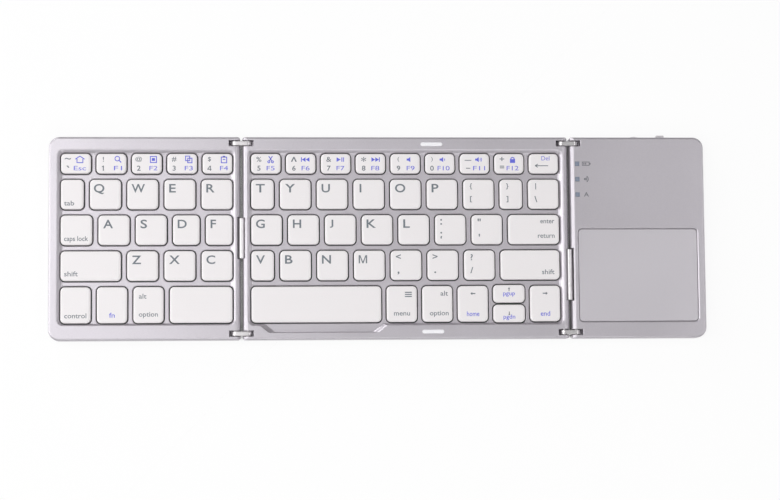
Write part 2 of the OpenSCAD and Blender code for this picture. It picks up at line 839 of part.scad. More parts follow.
// Electric switch on the main board, a gap behind the flange of the part that works it
module switch_body(x, w, gap) {
    translate([x - w / 2, flange_y - gap - body_d, z_parts])
        cube([w, body_d, body_h]);
}

// Opening in the rear wall, from x0 to x1 about the height of the controls
module rear_opening(x0, x1, h) {
    translate([x0 - rear_clear, y_rear - wall - over, control_z - h / 2 - rear_clear])
        cube([x1 - x0 + 2 * rear_clear, wall + 2 * over, h + 2 * rear_clear]);
}

// Flange that holds a knob or a button behind the rear wall
module rear_flange(x, w, h) {
    translate([x - w / 2, flange_y, control_z - h / 2])
        cube([w, flange_t, h]);
}

module power_switch() {
    lap = flange_lap + switch_travel;
    color("#b9b6bb") {
        plain_block([switch_at - switch_w / 2, flange_y, control_z - switch_h / 2],
            [switch_at + switch_w / 2, y_rear + switch_out, control_z + switch_h / 2],
            [knob_r, knob_r]);
        rear_flange(switch_at, switch_w + 2 * lap, switch_h + 2 * flange_lap);
    }
}

module pairing_button() {
    bulge = button_out - rear_clear;
    bow_r = (button_w * button_w / 4 + bulge * bulge) / (2 * bulge);
    color("#b9b6bb") {
        translate([button_at, 0, control_z - button_h / 2])
            linear_extrude(button_h)
                intersection() {
                    translate([-button_w / 2, flange_y])
                        square([button_w, y_rear + button_out - flange_y]);
                    translate([0, y_rear + button_out - bow_r])
                        circle(bow_r);
                }
        rear_flange(button_at, button_w + 2 * flange_lap, button_h + 2 * flange_lap);
    }
}

// Shell with a tongue inside, open to the rear
module charging_socket() {
    w = socket_w - 2 * socket_wall;
    h = socket_h - 2 * socket_wall;
    color(STEEL)
        translate([socket_at, y_rear - rear_clear - socket_d, z_parts])
            difference() {
                translate([-socket_w / 2, 0, 0])
                    cube([socket_w, socket_d, socket_h]);
                difference() {
                    translate([-w / 2, socket_wall, socket_wall])
                        cube([w, socket_d, h]);
                    translate([-tongue_w / 2, 0, (socket_h - tongue_t) / 2])
                        cube([tongue_w, socket_d - tongue_back, tongue_t]);
                }
            }
}

// Light guides that end in the top of the panel, each with a lip under it
module led_windows() {
    color("#c3cfdd")
        for (p = led_spots) {
            translate([p[0] - led_w / 2, p[1] - led_w / 2, z_parts + chip_gap])
                cube([led_w, led_w, z_rim - z_parts - chip_gap]);
            translate([p[0] - led_w / 2, p[1] - led_w / 2 - led_lip, z_skin - led_lip])
                cube([led_w + led_lip, led_w + 2 * led_lip, led_lip]);
        }
}

module right_top_cover() {
    hole = led_w + 2 * led_clear;
    color(SILVER)
        difference() {
            casing_top(right_panel, right_r, right_lines);
            cavity(right_panel, right_walls, right_lines, z_skin);
            plain_block([pad_x[0] - pad_clear, pad_y[0] - pad_clear, z_skin - over],
                [pad_x[1] + pad_clear, pad_y[1] + pad_clear, z_rim + over],
                [pad_r + pad_clear, pad_r + pad_clear]);
            for (p = led_spots)
                translate([p[0] - hole / 2, p[1] - hole / 2, z_skin - over])
                    cube([hole, hole, skin_t + 2 * over]);
            hinge_cuts(right_lines[0]);
            sleeve_notch(right_lines[0], right_sleeve);
            rear_opening(switch_at - switch_w / 2 - switch_travel,
                switch_at + switch_w / 2, switch_h);
            rear_opening(button_at - button_w / 2, button_at + button_w / 2, button_h);
            translate([socket_at - socket_w / 2 - rear_clear, y_rear - wall - over,
                z_parts - rear_clear])
                cube([socket_w + 2 * rear_clear, wall + 2 * over,
                    socket_h + 2 * rear_clear]);
        }
}

// ---- keys ----

module left_number_keys() keycaps(left_numbers);
module left_function_keys() keycaps(left_functions);
module centre_number_keys() keycaps(centre_numbers);
module centre_punctuation_keys() keycaps(centre_punctuation);
module centre_function_keys() keycaps(centre_functions);
module enter_key() keycap(centre_key(2, 7));
module space_key() keycap(centre_key(4, 0));
module q_key() keycap(left_key(1, 1));
module w_key() keycap(left_key(1, 2));
module e_key() keycap(left_key(1, 3));
module r_key() keycap(left_key(1, 4));
module a_key() keycap(left_key(2, 1));
module s_key() keycap(left_key(2, 2));
module d_key() keycap(left_key(2, 3));
module f_key() keycap(left_key(2, 4));
module z_key() keycap(left_key(3, 1));
module x_key() keycap(left_key(3, 2));
module c_key() keycap(left_key(3, 3));
module t_key() keycap(centre_key(1, 0));
module y_key() keycap(centre_key(1, 1));
module u_key() keycap(centre_key(1, 2));
module i_key() keycap(centre_key(1, 3));
module o_key() keycap(centre_key(1, 4));
module p_key() keycap(centre_key(1, 5));
module g_key() keycap(centre_key(2, 0));
module h_key() keycap(centre_key(2, 1));
module j_key() keycap(centre_key(2, 2));
module k_key() keycap(centre_key(2, 3));
module l_key() keycap(centre_key(2, 4));
module v_key() keycap(centre_key(3, 0));
module b_key() keycap(centre_key(3, 1));
module n_key() keycap(centre_key(3, 2));
module m_key() keycap(centre_key(3, 3));

centre_bottom_cover();
centre_frame();
centre_switch_sheet();
centre_domes();
left_bottom_cover();
left_frame();
left_switch_sheet();
left_domes();
right_bottom_cover();
right_top_cover();
touchpad();
touchpad_board();
battery();
main_board();
charging_socket();
power_switch();
pairing_button();
led_windows();
fold_bumpers();
cable_sleeves();
left_hinge_links();
left_hinge_pins();
right_hinge_links();
right_hinge_pins();
left_feet();
centre_feet();
right_feet();
left_number_keys();
left_function_keys();
centre_number_keys();
centre_punctuation_keys();
centre_function_keys();
enter_key();
space_key();
q_key();
w_key();
e_key();
r_key();
t_key();
y_key();
u_key();
i_key();
o_key();
p_key();
a_key();
s_key();
d_key();
f_key();
g_key();
h_key();
j_key();
k_key();
l_key();
z_key();
x_key();
c_key();
v_key();
b_key();
n_key();
m_key();
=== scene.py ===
import json
import math

import bpy
from mathutils import Matrix, Vector
from mathutils.geometry import delaunay_2d_cdt


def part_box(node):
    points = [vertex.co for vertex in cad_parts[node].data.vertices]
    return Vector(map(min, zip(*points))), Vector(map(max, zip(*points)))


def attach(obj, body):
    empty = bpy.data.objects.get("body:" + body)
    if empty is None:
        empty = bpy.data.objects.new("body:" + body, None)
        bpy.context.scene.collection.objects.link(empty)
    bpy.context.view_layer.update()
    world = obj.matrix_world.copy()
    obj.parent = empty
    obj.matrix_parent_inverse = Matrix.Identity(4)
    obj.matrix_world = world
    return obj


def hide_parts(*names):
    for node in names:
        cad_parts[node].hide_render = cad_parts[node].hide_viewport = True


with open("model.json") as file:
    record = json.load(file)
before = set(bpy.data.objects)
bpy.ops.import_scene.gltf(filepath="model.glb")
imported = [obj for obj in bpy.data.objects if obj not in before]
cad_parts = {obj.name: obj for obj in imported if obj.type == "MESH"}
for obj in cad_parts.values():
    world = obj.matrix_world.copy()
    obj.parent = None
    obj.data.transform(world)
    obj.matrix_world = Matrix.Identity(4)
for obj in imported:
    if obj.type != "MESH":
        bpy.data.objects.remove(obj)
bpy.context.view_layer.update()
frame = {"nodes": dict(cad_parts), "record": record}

# Sizes are written in millimetres, and become metres when a mesh is made.
MM = 0.001

# ---- sizes of the casings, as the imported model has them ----

WALL = 1.6
FOLD_WALL = 2.1
OPEN_GAP = 1.0
CORNER_R = 5.0
INNER_CORNER_R = 1.3
TOP_EDGE = 1.1
FOLD_EDGE = 2.4
DECK_T = 1.1
SKIN_T = 1.6
# the sunk key field: distances from its outer keys to its rim, corner radii, width of its slopes
RECESS_DEPTH = 1.7
RECESS_SIDE = 1.9
RECESS_REAR = 2.2
RECESS_FRONT = 1.2
RECESS_R = 3.2
RECESS_FLOOR_R = 1.2
SIDE_SLOPE = 2.8
FOLD_SLOPE = 2.4
REAR_SLOPE = 2.5
FRONT_SLOPE = 1.1
FOLD_RIM = 2.6
# the thumb notch in front of the wide space key
NOTCH_X = 3.9
NOTCH_W = 58.8
NOTCH_D = 3.2
NOTCH_SLANT = 4.0
NOTCH_BANK = 2.3
NOTCH_FRONT_BANK = 0.5
# keys, touchpad, indicators and controls
KEY_R = 2.0
KEY_CLEAR = 0.41
KEY_WALL = 0.9
KEY_TOP = 1.1
PAD_R = 1.6
PAD_CLEAR = 0.1
LED_SIDE = 2.0
LED_CLEAR = 0.05
REAR_CLEAR = 0.15
REAR_PROUD = 0.05  # what stands out further than this from the rear wall is a control
SWITCH_TRAVEL = 2.0
BUMPER_POCKET = 0.4
# hinge links, their blocks and the round sleeves
SLOT_REACH = 5.7
SLOT_HALF = 1.35
SLOT_UNDER = 2.3
LINK_INSET = 2.9
BLOCK_D = 6.6
SLEEVE_R = 1.55
SLEEVE_BORE_R = 0.9
SLEEVE_CLEAR = 0.3

# ---- finish of the edges ----

HOLE_EDGE = 0.44
PAD_HOLE_EDGE = 0.8
SLOT_EDGE = 0.2
FINE_EDGE = 0.12
BUMPER_EDGE = 0.35
FOOT_EDGE = 0.3
LINK_EDGE = 0.28
SLEEVE_EDGE = 0.25
BORE_EDGE = 0.1
PAD_EDGE = 0.3
PART_LINE = 0.12
SHARP = 0.004  # radius of a corner that is left sharp
ROUND_FROM = 0.3  # smallest corner radius that is worth its full number of steps
STEP = 0.008  # half of the width in which an upright wall drops
NEAR = 0.02  # points closer than this to the outline count as on it
TINY = 0.01  # step for slopes that are worked out numerically
INWARD = 0.05  # part of a triangle's size at which the normal of its corner is worked out
PAST = 1.0  # how far a cut or line runs out over an edge
ARC_STEPS = 7
SOFT_STEPS = 5
CORNER_STEPS = 8
SLOPE_STEPS = 9
NOTCH_STEPS = 6
GROOVE_STEPS = 6
HALVINGS = 22  # of the search for a point's place on the key field's slope
SLOPE_STRAIGHT = 0.35  # how straight that slope is; 0 would be an S


def box_mm(node):
    """Lowest and highest corner of a CAD node, in millimetres."""
    low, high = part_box(node)
    return Vector(low) / MM, Vector(high) / MM


def islands(node):
    """Boxes (low, high) in millimetres of the separate solids of a CAD node."""
    mesh = frame["nodes"][node].data
    number, root = {}, []

    def find(i):
        while root[i] != i:
            root[i] = root[root[i]]
            i = root[i]
        return i

    spot = []
    for v in mesh.vertices:
        point = tuple(round(c / MM, 3) for c in v.co)
        if point not in number:
            number[point] = len(root)
            root.append(len(root))
        spot.append(number[point])
    for e in mesh.edges:
        a, b = find(spot[e.vertices[0]]), find(spot[e.vertices[1]])
        root[a] = b
    groups = {}
    for point, i in number.items():
        groups.setdefault(find(i), []).append(point)
    boxes = [
        (Vector(map(min, zip(*group))), Vector(map(max, zip(*group)))) for group in groups.values()
    ]
    return sorted(boxes, key=lambda b: (-round(b[0].y / 4), b[0].x))


def middle(low, high):
    """Middle of a box."""
    return [(a + b) / 2 for a, b in zip(low, high)]


def add_object(name, data):
    obj = bpy.data.objects.new(name, data)
    bpy.context.collection.objects.link(obj)
    return obj


# ---- materials ----


def new_material(name):
    """An empty node material with its Principled shader, joined to its output."""
    mat = bpy.data.materials.new(name)
    mat.use_nodes = True
    tree = mat.node_tree
    tree.nodes.clear()
    out = tree.nodes.new("ShaderNodeOutputMaterial")
    shader = tree.nodes.new("ShaderNodeBsdfPrincipled")
    tree.links.new(shader.outputs[0], out.inputs[0])
    return mat, tree, shader, out


def new_node(tree, kind, **values):
    """A shader node with these values on its inputs; an underscore stands for a space."""
    node = tree.nodes.new("ShaderNode" + kind)
    for name, value in values.items():
        node.inputs[name.replace("_", " ")].default_value = value
    return node


def wire(tree, *pairs):
    """Join outputs to inputs."""
    for source, target in pairs:
        tree.links.new(source, target)


def noise(tree, scale, detail, stretch=(1, 1, 1)):
    """Noise over the object's own coordinates."""
    coord = new_node(tree, "TexCoord")
    place = new_node(tree, "Mapping", Scale=stretch)
    tex = new_node(tree, "TexNoise", Scale=scale, Detail=detail)
    wire(tree, (coord.outputs["Object"], place.inputs[0]), (place.outputs[0], tex.inputs[0]))
    return tex.outputs["Fac"]


# The part of a noise's 0 to 1 that colours and roughness are spread over
NOISE_LOW = 0.3
NOISE_HIGH = 0.7
BROAD_SCALE = 28.0
RELIEF_M = 0.00002


def textured(name, low, high, metallic, rough, grain, relief, stretch=(1, 1, 1)):
    """Material whose colour and roughness vary between two values over a fine grain."""
    mat, tree, shader, _ = new_material(name)
    fine = noise(tree, grain, 2.0, stretch)
    broad = noise(tree, BROAD_SCALE, 4.0)
    colour = new_node(tree, "ValToRGB")
    for stop, place, tint in zip(colour.color_ramp.elements, (NOISE_LOW, NOISE_HIGH), (low, high)):
        stop.position = place
        stop.color = (*tint, 1)
    spread = new_node(
        tree, "MapRange", From_Min=NOISE_LOW, From_Max=NOISE_HIGH, To_Min=rough[0], To_Max=rough[1]
    )
    bump = new_node(tree, "Bump", Strength=relief, Distance=RELIEF_M)
    wire(
        tree,
        (fine, colour.inputs[0]), (colour.outputs[0], shader.inputs["Base Color"]),
        (broad, spread.inputs["Value"]), (spread.outputs[0], shader.inputs["Roughness"]),
        (fine, bump.inputs["Height"]), (bump.outputs[0], shader.inputs["Normal"]),
    )
    shader.inputs["Metallic"].default_value = metallic
    return mat


# For each slot of the record: name, two colours, metallic, roughness from and to,
# scale of the grain, strength of its relief and, for brushed steel, how it is stretched.
FINISHES = {
    "silver_casing": (
        "silver_paint", (0.505, 0.480, 0.516), (0.566, 0.538, 0.579), 0.62, (0.36, 0.42), 5200, 0.12
    ),
    "silver_base": (
        "blasted_aluminium", (0.48, 0.47, 0.49), (0.55, 0.54, 0.56), 0.8, (0.42, 0.5), 3800, 0.25
    ),
    "keycaps": (
        "satin_key_plastic", (0.775, 0.748, 0.757), (0.805, 0.776, 0.785), 0, (0.4, 0.48), 2600,
        0.06,
    ),
    "touch_surface": (
        "touch_film", (0.545, 0.520, 0.556), (0.575, 0.550, 0.586), 0.25, (0.34, 0.4), 6000, 0.08
    ),
    "hinge_steel": (
        "hinge_steel", (0.66, 0.64, 0.65), (0.72, 0.7, 0.71), 0.85, (0.3, 0.36), 2400, 0.02,
        (6, 1, 1),
    ),
    "pad_rubber": (
        "light_rubber", (0.83, 0.82, 0.86), (0.88, 0.87, 0.9), 0, (0.5, 0.6), 1800, 0.2
    ),
    "dome_rubber": (
        "dome_silicone", (0.60, 0.60, 0.58), (0.68, 0.68, 0.66), 0, (0.45, 0.55), 1500, 0.1
    ),
    "circuit_board": (
        "solder_mask", (0.02, 0.075, 0.04), (0.035, 0.11, 0.06), 0, (0.3, 0.42), 1200, 0.2
    ),
    "battery_foil": (
        "pouch_foil", (0.36, 0.37, 0.39), (0.5, 0.51, 0.53), 0.7, (0.3, 0.45), 700, 0.3
    ),
    "socket_shell": (
        "plated_shell", (0.5, 0.5, 0.5), (0.62, 0.62, 0.62), 1, (0.22, 0.3), 2000, 0.1
    ),
    "silver_controls": (
        "satin_control", (0.55, 0.53, 0.55), (0.62, 0.6, 0.62), 0.3, (0.38, 0.46), 3000, 0.1
    ),
    "light_guides": (
        "light_guide", (0.20, 0.235, 0.30), (0.27, 0.30, 0.37), 0, (0.12, 0.2), 900, 0.05
    ),
}
MATERIALS = {slot: textured(*finish) for slot, finish in FINISHES.items()}


def ink_material(name, colour):
    """Printed ink, a little uneven."""
    return textured(name, [c * 0.92 for c in colour], colour, 0.0, (0.5, 0.62), 3000.0, 0.1)


INKS = {
    "grey": ink_material("grey_ink", (0.155, 0.18, 0.205)),
    "blue": ink_material("blue_ink", (0.12, 0.135, 0.68)),
    "case": ink_material("case_ink", (0.17, 0.17, 0.19)),
}

SLOT_OF = {s["node"]: s["material_slot"] for s in frame["record"]["subparts"]}
BODY_OF = {n: b for b, nodes in frame["record"]["behaviour"]["bodies"].items() for n in nodes}


def finish_piece(obj, slot, body, *nodes):
    """Give a piece its slot's material and its body, and hide the CAD nodes that it stands for."""
    obj.data.materials.clear()
    obj.data.materials.append(MATERIALS[slot])
    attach(obj, body)
    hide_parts(*nodes)


def make_mesh(name, verts, faces, smooth_angle=38.0):
    """Mesh object from points in millimetres, smooth except at edges sharper than the angle."""
    mesh = bpy.data.meshes.new(name)
    mesh.from_pydata([Vector(v) * MM for v in verts], [], faces)
    mesh.validate()
    mesh.update()
    mesh.shade_smooth()
    mesh.set_sharp_from_angle(angle=math.radians(smooth_angle))
    return add_object(name, mesh)


# ---- plane geometry ----


def rounded_rect(x0, y0, x1, y1, r, steps=CORNER_STEPS):
    """Outline of a rectangle with radius r[0] on its left corners and r[1] on its right ones."""
    points = []
    for quarter, (x, y, way_x, way_y, radius) in enumerate((
        (x1, y1, -1, -1, r[1]), (x0, y1, 1, -1, r[0]), (x0, y0, 1, 1, r[0]), (x1, y0, -1, 1, r[1])
    )):
        for k in range(steps + 1):
            a = math.radians(90 * quarter + 90 * k / steps)
            points.append((
                x + way_x * radius + radius * math.cos(a), y + way_y * radius + radius * math.sin(a)
            ))
    return points


def rect_distance(x, y, x0, y0, x1, y1, r):
    """Distance outside a rounded rectangle, negative inside."""
    cx, cy = (x0 + x1) / 2, (y0 + y1) / 2
    radius = r[0] if x < cx else r[1]
    qx = abs(x - cx) - (x1 - x0) / 2 + radius
    qy = abs(y - cy) - (y1 - y0) / 2 + radius
    return min(max(qx, qy), 0) + math.hypot(max(qx, 0), max(qy, 0)) - radius


def round_drop(d, r):
    """How far a rounded edge of radius r lies below its top, a distance d in from its side."""
    if d >= r:
        return 0.0
    d = max(d, 0.0)
    return r - math.sqrt(max(r * r - (r - d) ** 2, 0.0))


def arc_offsets(r, steps=ARC_STEPS):
    """Distances in from the side at which a rounded edge turns by equal angles."""
    return [r * (1 - math.cos(math.pi / 2 * k / steps)) for k in range(steps + 1)]


def ease(t):
    """Slope from 0 to 1 with a soft start and end."""
    t = min(max(t, 0.0), 1.0)
    return SLOPE_STRAIGHT * t + (1 - SLOPE_STRAIGHT) * t * t * (3 - 2 * t)


class Cut:
    """A rounded rectangle taken out of a panel, right through it if it has no floor.

    An axis (x, z) makes its floor a round-bottomed seat for a sleeve along Y.
    """

    def __init__(self, x0, y0, x1, y1, r, edge, floor=None, axis=None):
        self.rect = (x0, y0, x1, y1)
        self.r = r
        self.edge = edge
        self.floor = floor
        self.axis = axis
        self.through = floor is None and axis is None

    def near(self, x, y):
        x0, y0, x1, y1 = self.rect
        return x0 - PAST < x < x1 + PAST and y0 - PAST < y < y1 + PAST

    def distance(self, x, y):
        return rect_distance(x, y, *self.rect, (self.r, self.r))

    def depth(self, x):
        if not self.axis:
            return self.floor
        d = min(abs(x - self.axis[0]), SLEEVE_R)
        return self.axis[1] - math.sqrt(max(SLEEVE_R**2 - d * d, 0.0))

    def loop(self, out):
        """Its outline, moved out by a distance."""
        x0, y0, x1, y1 = self.rect
        r = max(self.r + out, SHARP)
        steps = CORNER_STEPS if self.r > ROUND_FROM else 2
        return rounded_rect(x0 - out, y0 - out, x1 + out, y1 + out, (r, r), steps)


class Panel:
    """The upper shell of one panel: a relief over its outline, with walls and a hollow underside.

    corner holds the radii of its left and right corners, and folds the sides, -1 for the left
    and 1 for the right, that lie beside a fold.
    """

    def __init__(self, node, corner, folds, skin):
        low, high = box_mm(node)
        self.x0, self.x1 = low.x, high.x
        self.y0, self.y1 = low.y, high.y
        self.z_part, self.z_rim = low.z, high.z
        self.corner = corner
        self.folds = folds
        self.under = self.z_rim - skin
        self.cuts = []
        self.recess = None
        self.notch = None
        walls = [FOLD_WALL if side in folds else WALL for side in (-1, 1)]
        self.hollow = (
            self.x0 + walls[0], self.y0 + BLOCK_D, self.x1 - walls[1], self.y1 - BLOCK_D
        )

    def recess_rect(self, t):
        """Rectangle and corner radii of the sunk key field at t of the way down its slope."""
        *rect, r = (a + (b - a) * t for a, b in zip(*self.recess))
        return rect, (r, r)

    def recess_share(self, x, y):
        """How far down the slope of the key field a point lies, from 0 to 1."""

        def outside(t):
            rect, r = self.recess_rect(t)
            return rect_distance(x, y, *rect, r)

        if outside(0.0) > 0:
            return 0.0
        if outside(1.0) <= 1e-6:
            return 1.0
        inner, outer = 0.0, 1.0
        for _ in range(HALVINGS):
            half = (inner + outer) / 2
            if outside(half) <= 0:
                inner = half
            else:
                outer = half
        return inner

    def notch_share(self, x, y):
        """How far down the banks of the thumb notch a point lies, from 0 to 1."""
        x0, x1, y_top = self.notch
        slant = math.hypot(NOTCH_SLANT, NOTCH_D)
        left = ((x - x0) * NOTCH_D + (y - y_top) * NOTCH_SLANT) / slant
        right = ((x1 - x) * NOTCH_D + (y - y_top) * NOTCH_SLANT) / slant
        front = y - (y_top - NOTCH_D)
        if y > y_top + FRONT_SLOPE + PAST / 2 or min(left, right, front) <= 0:
            return 0.0
        return min(left / NOTCH_BANK, right / NOTCH_BANK, front / NOTCH_FRONT_BANK, 1.0)

    def notch_line(self, t):
        """Line at t of the way down the notch's banks, open towards the key field."""
        x0, x1, y_top = self.notch
        shift = t * NOTCH_BANK * math.hypot(NOTCH_SLANT, NOTCH_D) / NOTCH_D
        y_low = y_top - NOTCH_D + t * NOTCH_FRONT_BANK
        y_high = y_top + FRONT_SLOPE
        run = NOTCH_SLANT / NOTCH_D
        down = [(x0 + shift + (y_top - y) * run, y) for y in (y_high, y_low)]
        return down + [(x1 - shift - (y_top - y) * run, y) for y in (y_low, y_high)]

    def edge_distance(self, x, y):
        return -rect_distance(x, y, self.x0, self.y0, self.x1, self.y1, self.corner)

    def height(self, x, y):
        fold = min((x - self.x0) if side < 0 else (self.x1 - x) for side in self.folds)
        drop = max(round_drop(self.edge_distance(x, y), TOP_EDGE), round_drop(fold, FOLD_EDGE))
        if self.recess:
            share = ease(self.recess_share(x, y))
            if self.notch:
                share = max(share, ease(self.notch_share(x, y)))
            drop = max(drop, RECESS_DEPTH * share)
        z = self.z_rim - drop
        for cut in self.cuts:
            if not cut.near(x, y):
                continue
            d = cut.distance(x, y)
            if not cut.through and d < -STEP / 2:
                z = min(z, cut.depth(x))
            elif d < cut.edge:
                z -= round_drop(d, cut.edge)
        return z

    def underside(self, x, y):
        x0, y0, x1, y1 = self.hollow
        return self.under if x0 < x < x1 and y0 < y < y1 else self.z_part

    def loops(self):
        """Closed outlines inside the panel that its surface is divided along."""
        loops = []
        for d in arc_offsets(TOP_EDGE, SOFT_STEPS)[1:]:
            r = tuple(max(k - d, 0.1) for k in self.corner)
            loops.append(rounded_rect(self.x0 + d, self.y0 + d, self.x1 - d, self.y1 - d, r))
        for cut in self.cuts:
            if not cut.through:
                loops += [cut.loop(-STEP), cut.loop(0.0)]
            loops += [cut.loop(d) for d in arc_offsets(cut.edge, 3)[1:]]
        if self.recess:
            for k in range(SLOPE_STEPS + 1):
                rect, r = self.recess_rect(k / SLOPE_STEPS)
                loops.append(rounded_rect(*rect, r))
        x0, y0, x1, y1 = self.hollow
        for s in (-STEP, STEP):
            loops.append([(x0 - s, y0 - s), (x1 + s, y0 - s), (x1 + s, y1 + s), (x0 - s, y1 + s)])
        return loops

    def lines(self):
        """Open lines that the surface is divided along."""
        lines = []
        for side in self.folds:
            edge, inwards = (self.x0, 1) if side < 0 else (self.x1, -1)
            for d in arc_offsets(FOLD_EDGE)[1:]:
                x = edge + inwards * d
                lines.append([(x, self.y0 - PAST), (x, self.y1 + PAST)])
        if self.notch:
            lines += [self.notch_line(k / NOTCH_STEPS) for k in range(NOTCH_STEPS + 1)]
        for cut in self.cuts:
            x0, y0, x1, y1 = cut.rect
            for k in range(1, GROOVE_STEPS if cut.axis else 0):
                way = 1 if x0 > cut.axis[0] else -1
                x = cut.axis[0] + way * SLEEVE_R * k / GROOVE_STEPS
                if x0 < x < x1:
                    lines.append([(x, y0), (x, y1)])
        return lines

    def divided(self):
        """Points of the panel's plane and the triangles between them, clear of its openings."""
        points, edges, faces = [], [], []

        def add(line, closed=True):
            ids = list(range(len(points), len(points) + len(line)))
            points.extend(Vector(p) for p in line)
            edges.extend(zip(ids, ids[1:] + ids[:1] if closed else ids[1:]))
            return ids

        faces.append(add(rounded_rect(self.x0, self.y0, self.x1, self.y1, self.corner)))
        faces += [add(cut.loop(0.0)) for cut in self.cuts if cut.through]
        for loop in self.loops():
            add(loop)
        for line in self.lines():
            add(line, closed=False)
        flat, _, cells, _, _, owners = delaunay_2d_cdt(points, edges, faces, 0, 1e-4, True)
        kept = [c for c, own in zip(cells, owners) if 0 in own and len(own) == 1]
        used = sorted({i for c in kept for i in c})
        index = {i: k for k, i in enumerate(used)}
        return [tuple(flat[i]) for i in used], [tuple(index[i] for i in c) for c in kept]

    def build(self, name):
        """The shell as an object."""
        plane, cells = self.divided()
        n = len(plane)
        verts = [(x, y, self.height(x, y)) for x, y in plane]
        verts += [(x, y, self.underside(x, y)) for x, y in plane]
        polys, sides = [], {}
        for a, b, c in cells:
            polys += [(a, b, c), (c + n, b + n, a + n)]
            sides.update(dict.fromkeys([(a, b), (b, c), (c, a)]))
        # walls along every edge that only one cell has; the outer one ends in a small bevel
        bevel = {}
        for a, b in sides:
            if (b, a) in sides:
                continue
            if not all(self.edge_distance(*plane[k]) < NEAR for k in (a, b)):
                polys.append((b, a, a + n, b + n))
                continue
            for k in (a, b):
                if k not in bevel:
                    x, y = plane[k]
                    way = self.outward(x, y)
                    bevel[k] = len(verts)
                    verts.append((x, y, self.z_part + PART_LINE))
                    verts[k + n] = (x - way[0] * PART_LINE, y - way[1] * PART_LINE, self.z_part)
            polys.append((b, a, bevel[a], bevel[b]))
            polys.append((bevel[b], bevel[a], a + n, b + n))
        obj = make_mesh(name, verts, polys)
        self.set_normals(obj.data)
        return obj

    def set_normals(self, mesh):
        """Exact normals on the relief and on the upright outer wall; the other faces stay flat."""
        normals = []
        for face in mesh.polygons:
            points = [mesh.vertices[i].co / MM for i in face.vertices]
            flat = tuple(face.normal)
            if abs(flat[2]) < 0.1 and self.on_edge(points):
                normals += [self.outward(*p.xy) for p in points]
            elif len(points) == 3 and flat[2] > 0.12 and not self.is_level(points):
                normals += [self.normal_in(points, k) for k in range(3)]
            else:
                normals += [flat] * len(points)
        mesh.normals_split_custom_set(normals)

    def on_edge(self, points):
        return all(abs(self.edge_distance(*p.xy)) < NEAR for p in points)

    def outward(self, x, y):
        """Level direction straight out of the outline beside a point."""
        dx = self.edge_distance(x - TINY, y) - self.edge_distance(x + TINY, y)
        dy = self.edge_distance(x, y - TINY) - self.edge_distance(x, y + TINY)
        return tuple(Vector((dx, dy, 0)).normalized())

    def is_level(self, points):
        centre = (points[0] + points[1] + points[2]) / 3
        spread = max(p.z for p in points) - min(p.z for p in points)
        return spread < 1e-4 and abs(self.height(*centre.xy) - centre.z) < 1e-4

    def normal_in(self, points, corner):
        """Normal of the relief just inside one corner of a triangle that no crease crosses."""
        a, b, c = (points[(corner + k) % 3] for k in range(3))
        start = a + (a + b + c) / 3 * INWARD - a * INWARD
        spots = [start, start + (b - a) * INWARD, start + (c - a) * INWARD]
        spots = [Vector((p.x, p.y, self.height(p.x, p.y))) for p in spots]
        return tuple((spots[1] - spots[0]).cross(spots[2] - spots[0]).normalized())


def fold_seats(panel, clear):
    """Slots for the links and room for the sleeve beside each fold, open towards it.

    With clear 0 the sleeve sits in a round seat, else it has a notch with that much room.
    """
    for side in panel.folds:
        line = panel.x0 - OPEN_GAP / 2 if side < 0 else panel.x1 + OPEN_GAP / 2
        x0, x1 = sorted((line + 2 * PAST * side, line - SLOT_REACH * side))
        for s in (-1, 1):
            y = s * (panel.y1 - LINK_INSET)
            panel.cuts.append(
                Cut(x0, y - SLOT_HALF, x1, y + SLOT_HALF, SHARP, SLOT_EDGE, PIVOT_Z - SLOT_UNDER)
            )
        low, high = min(SLEEVES, key=lambda sleeve: abs(sleeve[0].x - line))
        line = middle(low, high)[0]
        room = SLEEVE_R + clear
        x0, x1 = sorted((line + 2 * PAST * side, line - room * side))
        floor, axis = (PIVOT_Z - room, None) if clear else (None, (line, PIVOT_Z))
        panel.cuts.append(
            Cut(x0, low.y - clear, x1, high.y + clear, SHARP, SLOT_EDGE, floor, axis)
        )


def opening(panel, box, clear, r, edge):
    """Opening right through a panel for a piece that stands in it, with room all round."""
    low, high = box
    panel.cuts.append(
        Cut(low.x - clear, low.y - clear, high.x + clear, high.y + clear, r + clear, edge)
    )


SLEEVES = sorted(islands("cable_sleeves"), key=lambda b: b[0].x)
PIVOT_Z = (SLEEVES[0][0].z + SLEEVES[0][1].z) / 2
KEY_BOXES = {n: islands(n) for n in frame["nodes"] if n.endswith(("_key", "_keys"))}
LEFT_X = box_mm("left_frame")[1].x


def key_panel(node, corners, folds, left):
    """Panel with a sunk key field, open for the keys of the left panel, or of the centre one."""
    panel = Panel(node, corners, folds, RECESS_DEPTH + DECK_T)
    keys = [b for boxes in KEY_BOXES.values() for b in boxes if (b[0].x < LEFT_X) == left]
    x0, slope = min(k[0].x for k in keys) - RECESS_SIDE, SIDE_SLOPE
    if -1 in folds:
        x0, slope = panel.x0 - OPEN_GAP / 2 + FOLD_RIM, FOLD_SLOPE
    x1 = panel.x1 + OPEN_GAP / 2 - FOLD_RIM
    y0 = min(k[0].y for k in keys) - RECESS_FRONT
    y1 = max(k[1].y for k in keys) + RECESS_REAR
    panel.recess = (
        (x0, y0, x1, y1, RECESS_R),
        (x0 + slope, y0 + FRONT_SLOPE, x1 - FOLD_SLOPE, y1 - REAR_SLOPE, RECESS_FLOOR_R),
    )
    for box in keys:
        opening(panel, box, KEY_CLEAR, KEY_R, HOLE_EDGE)
    return panel


def left_shell():
    panel = key_panel("left_frame", (CORNER_R, INNER_CORNER_R), (1,), True)
    fold_seats(panel, SLEEVE_CLEAR)
    return panel.build("left_casing")


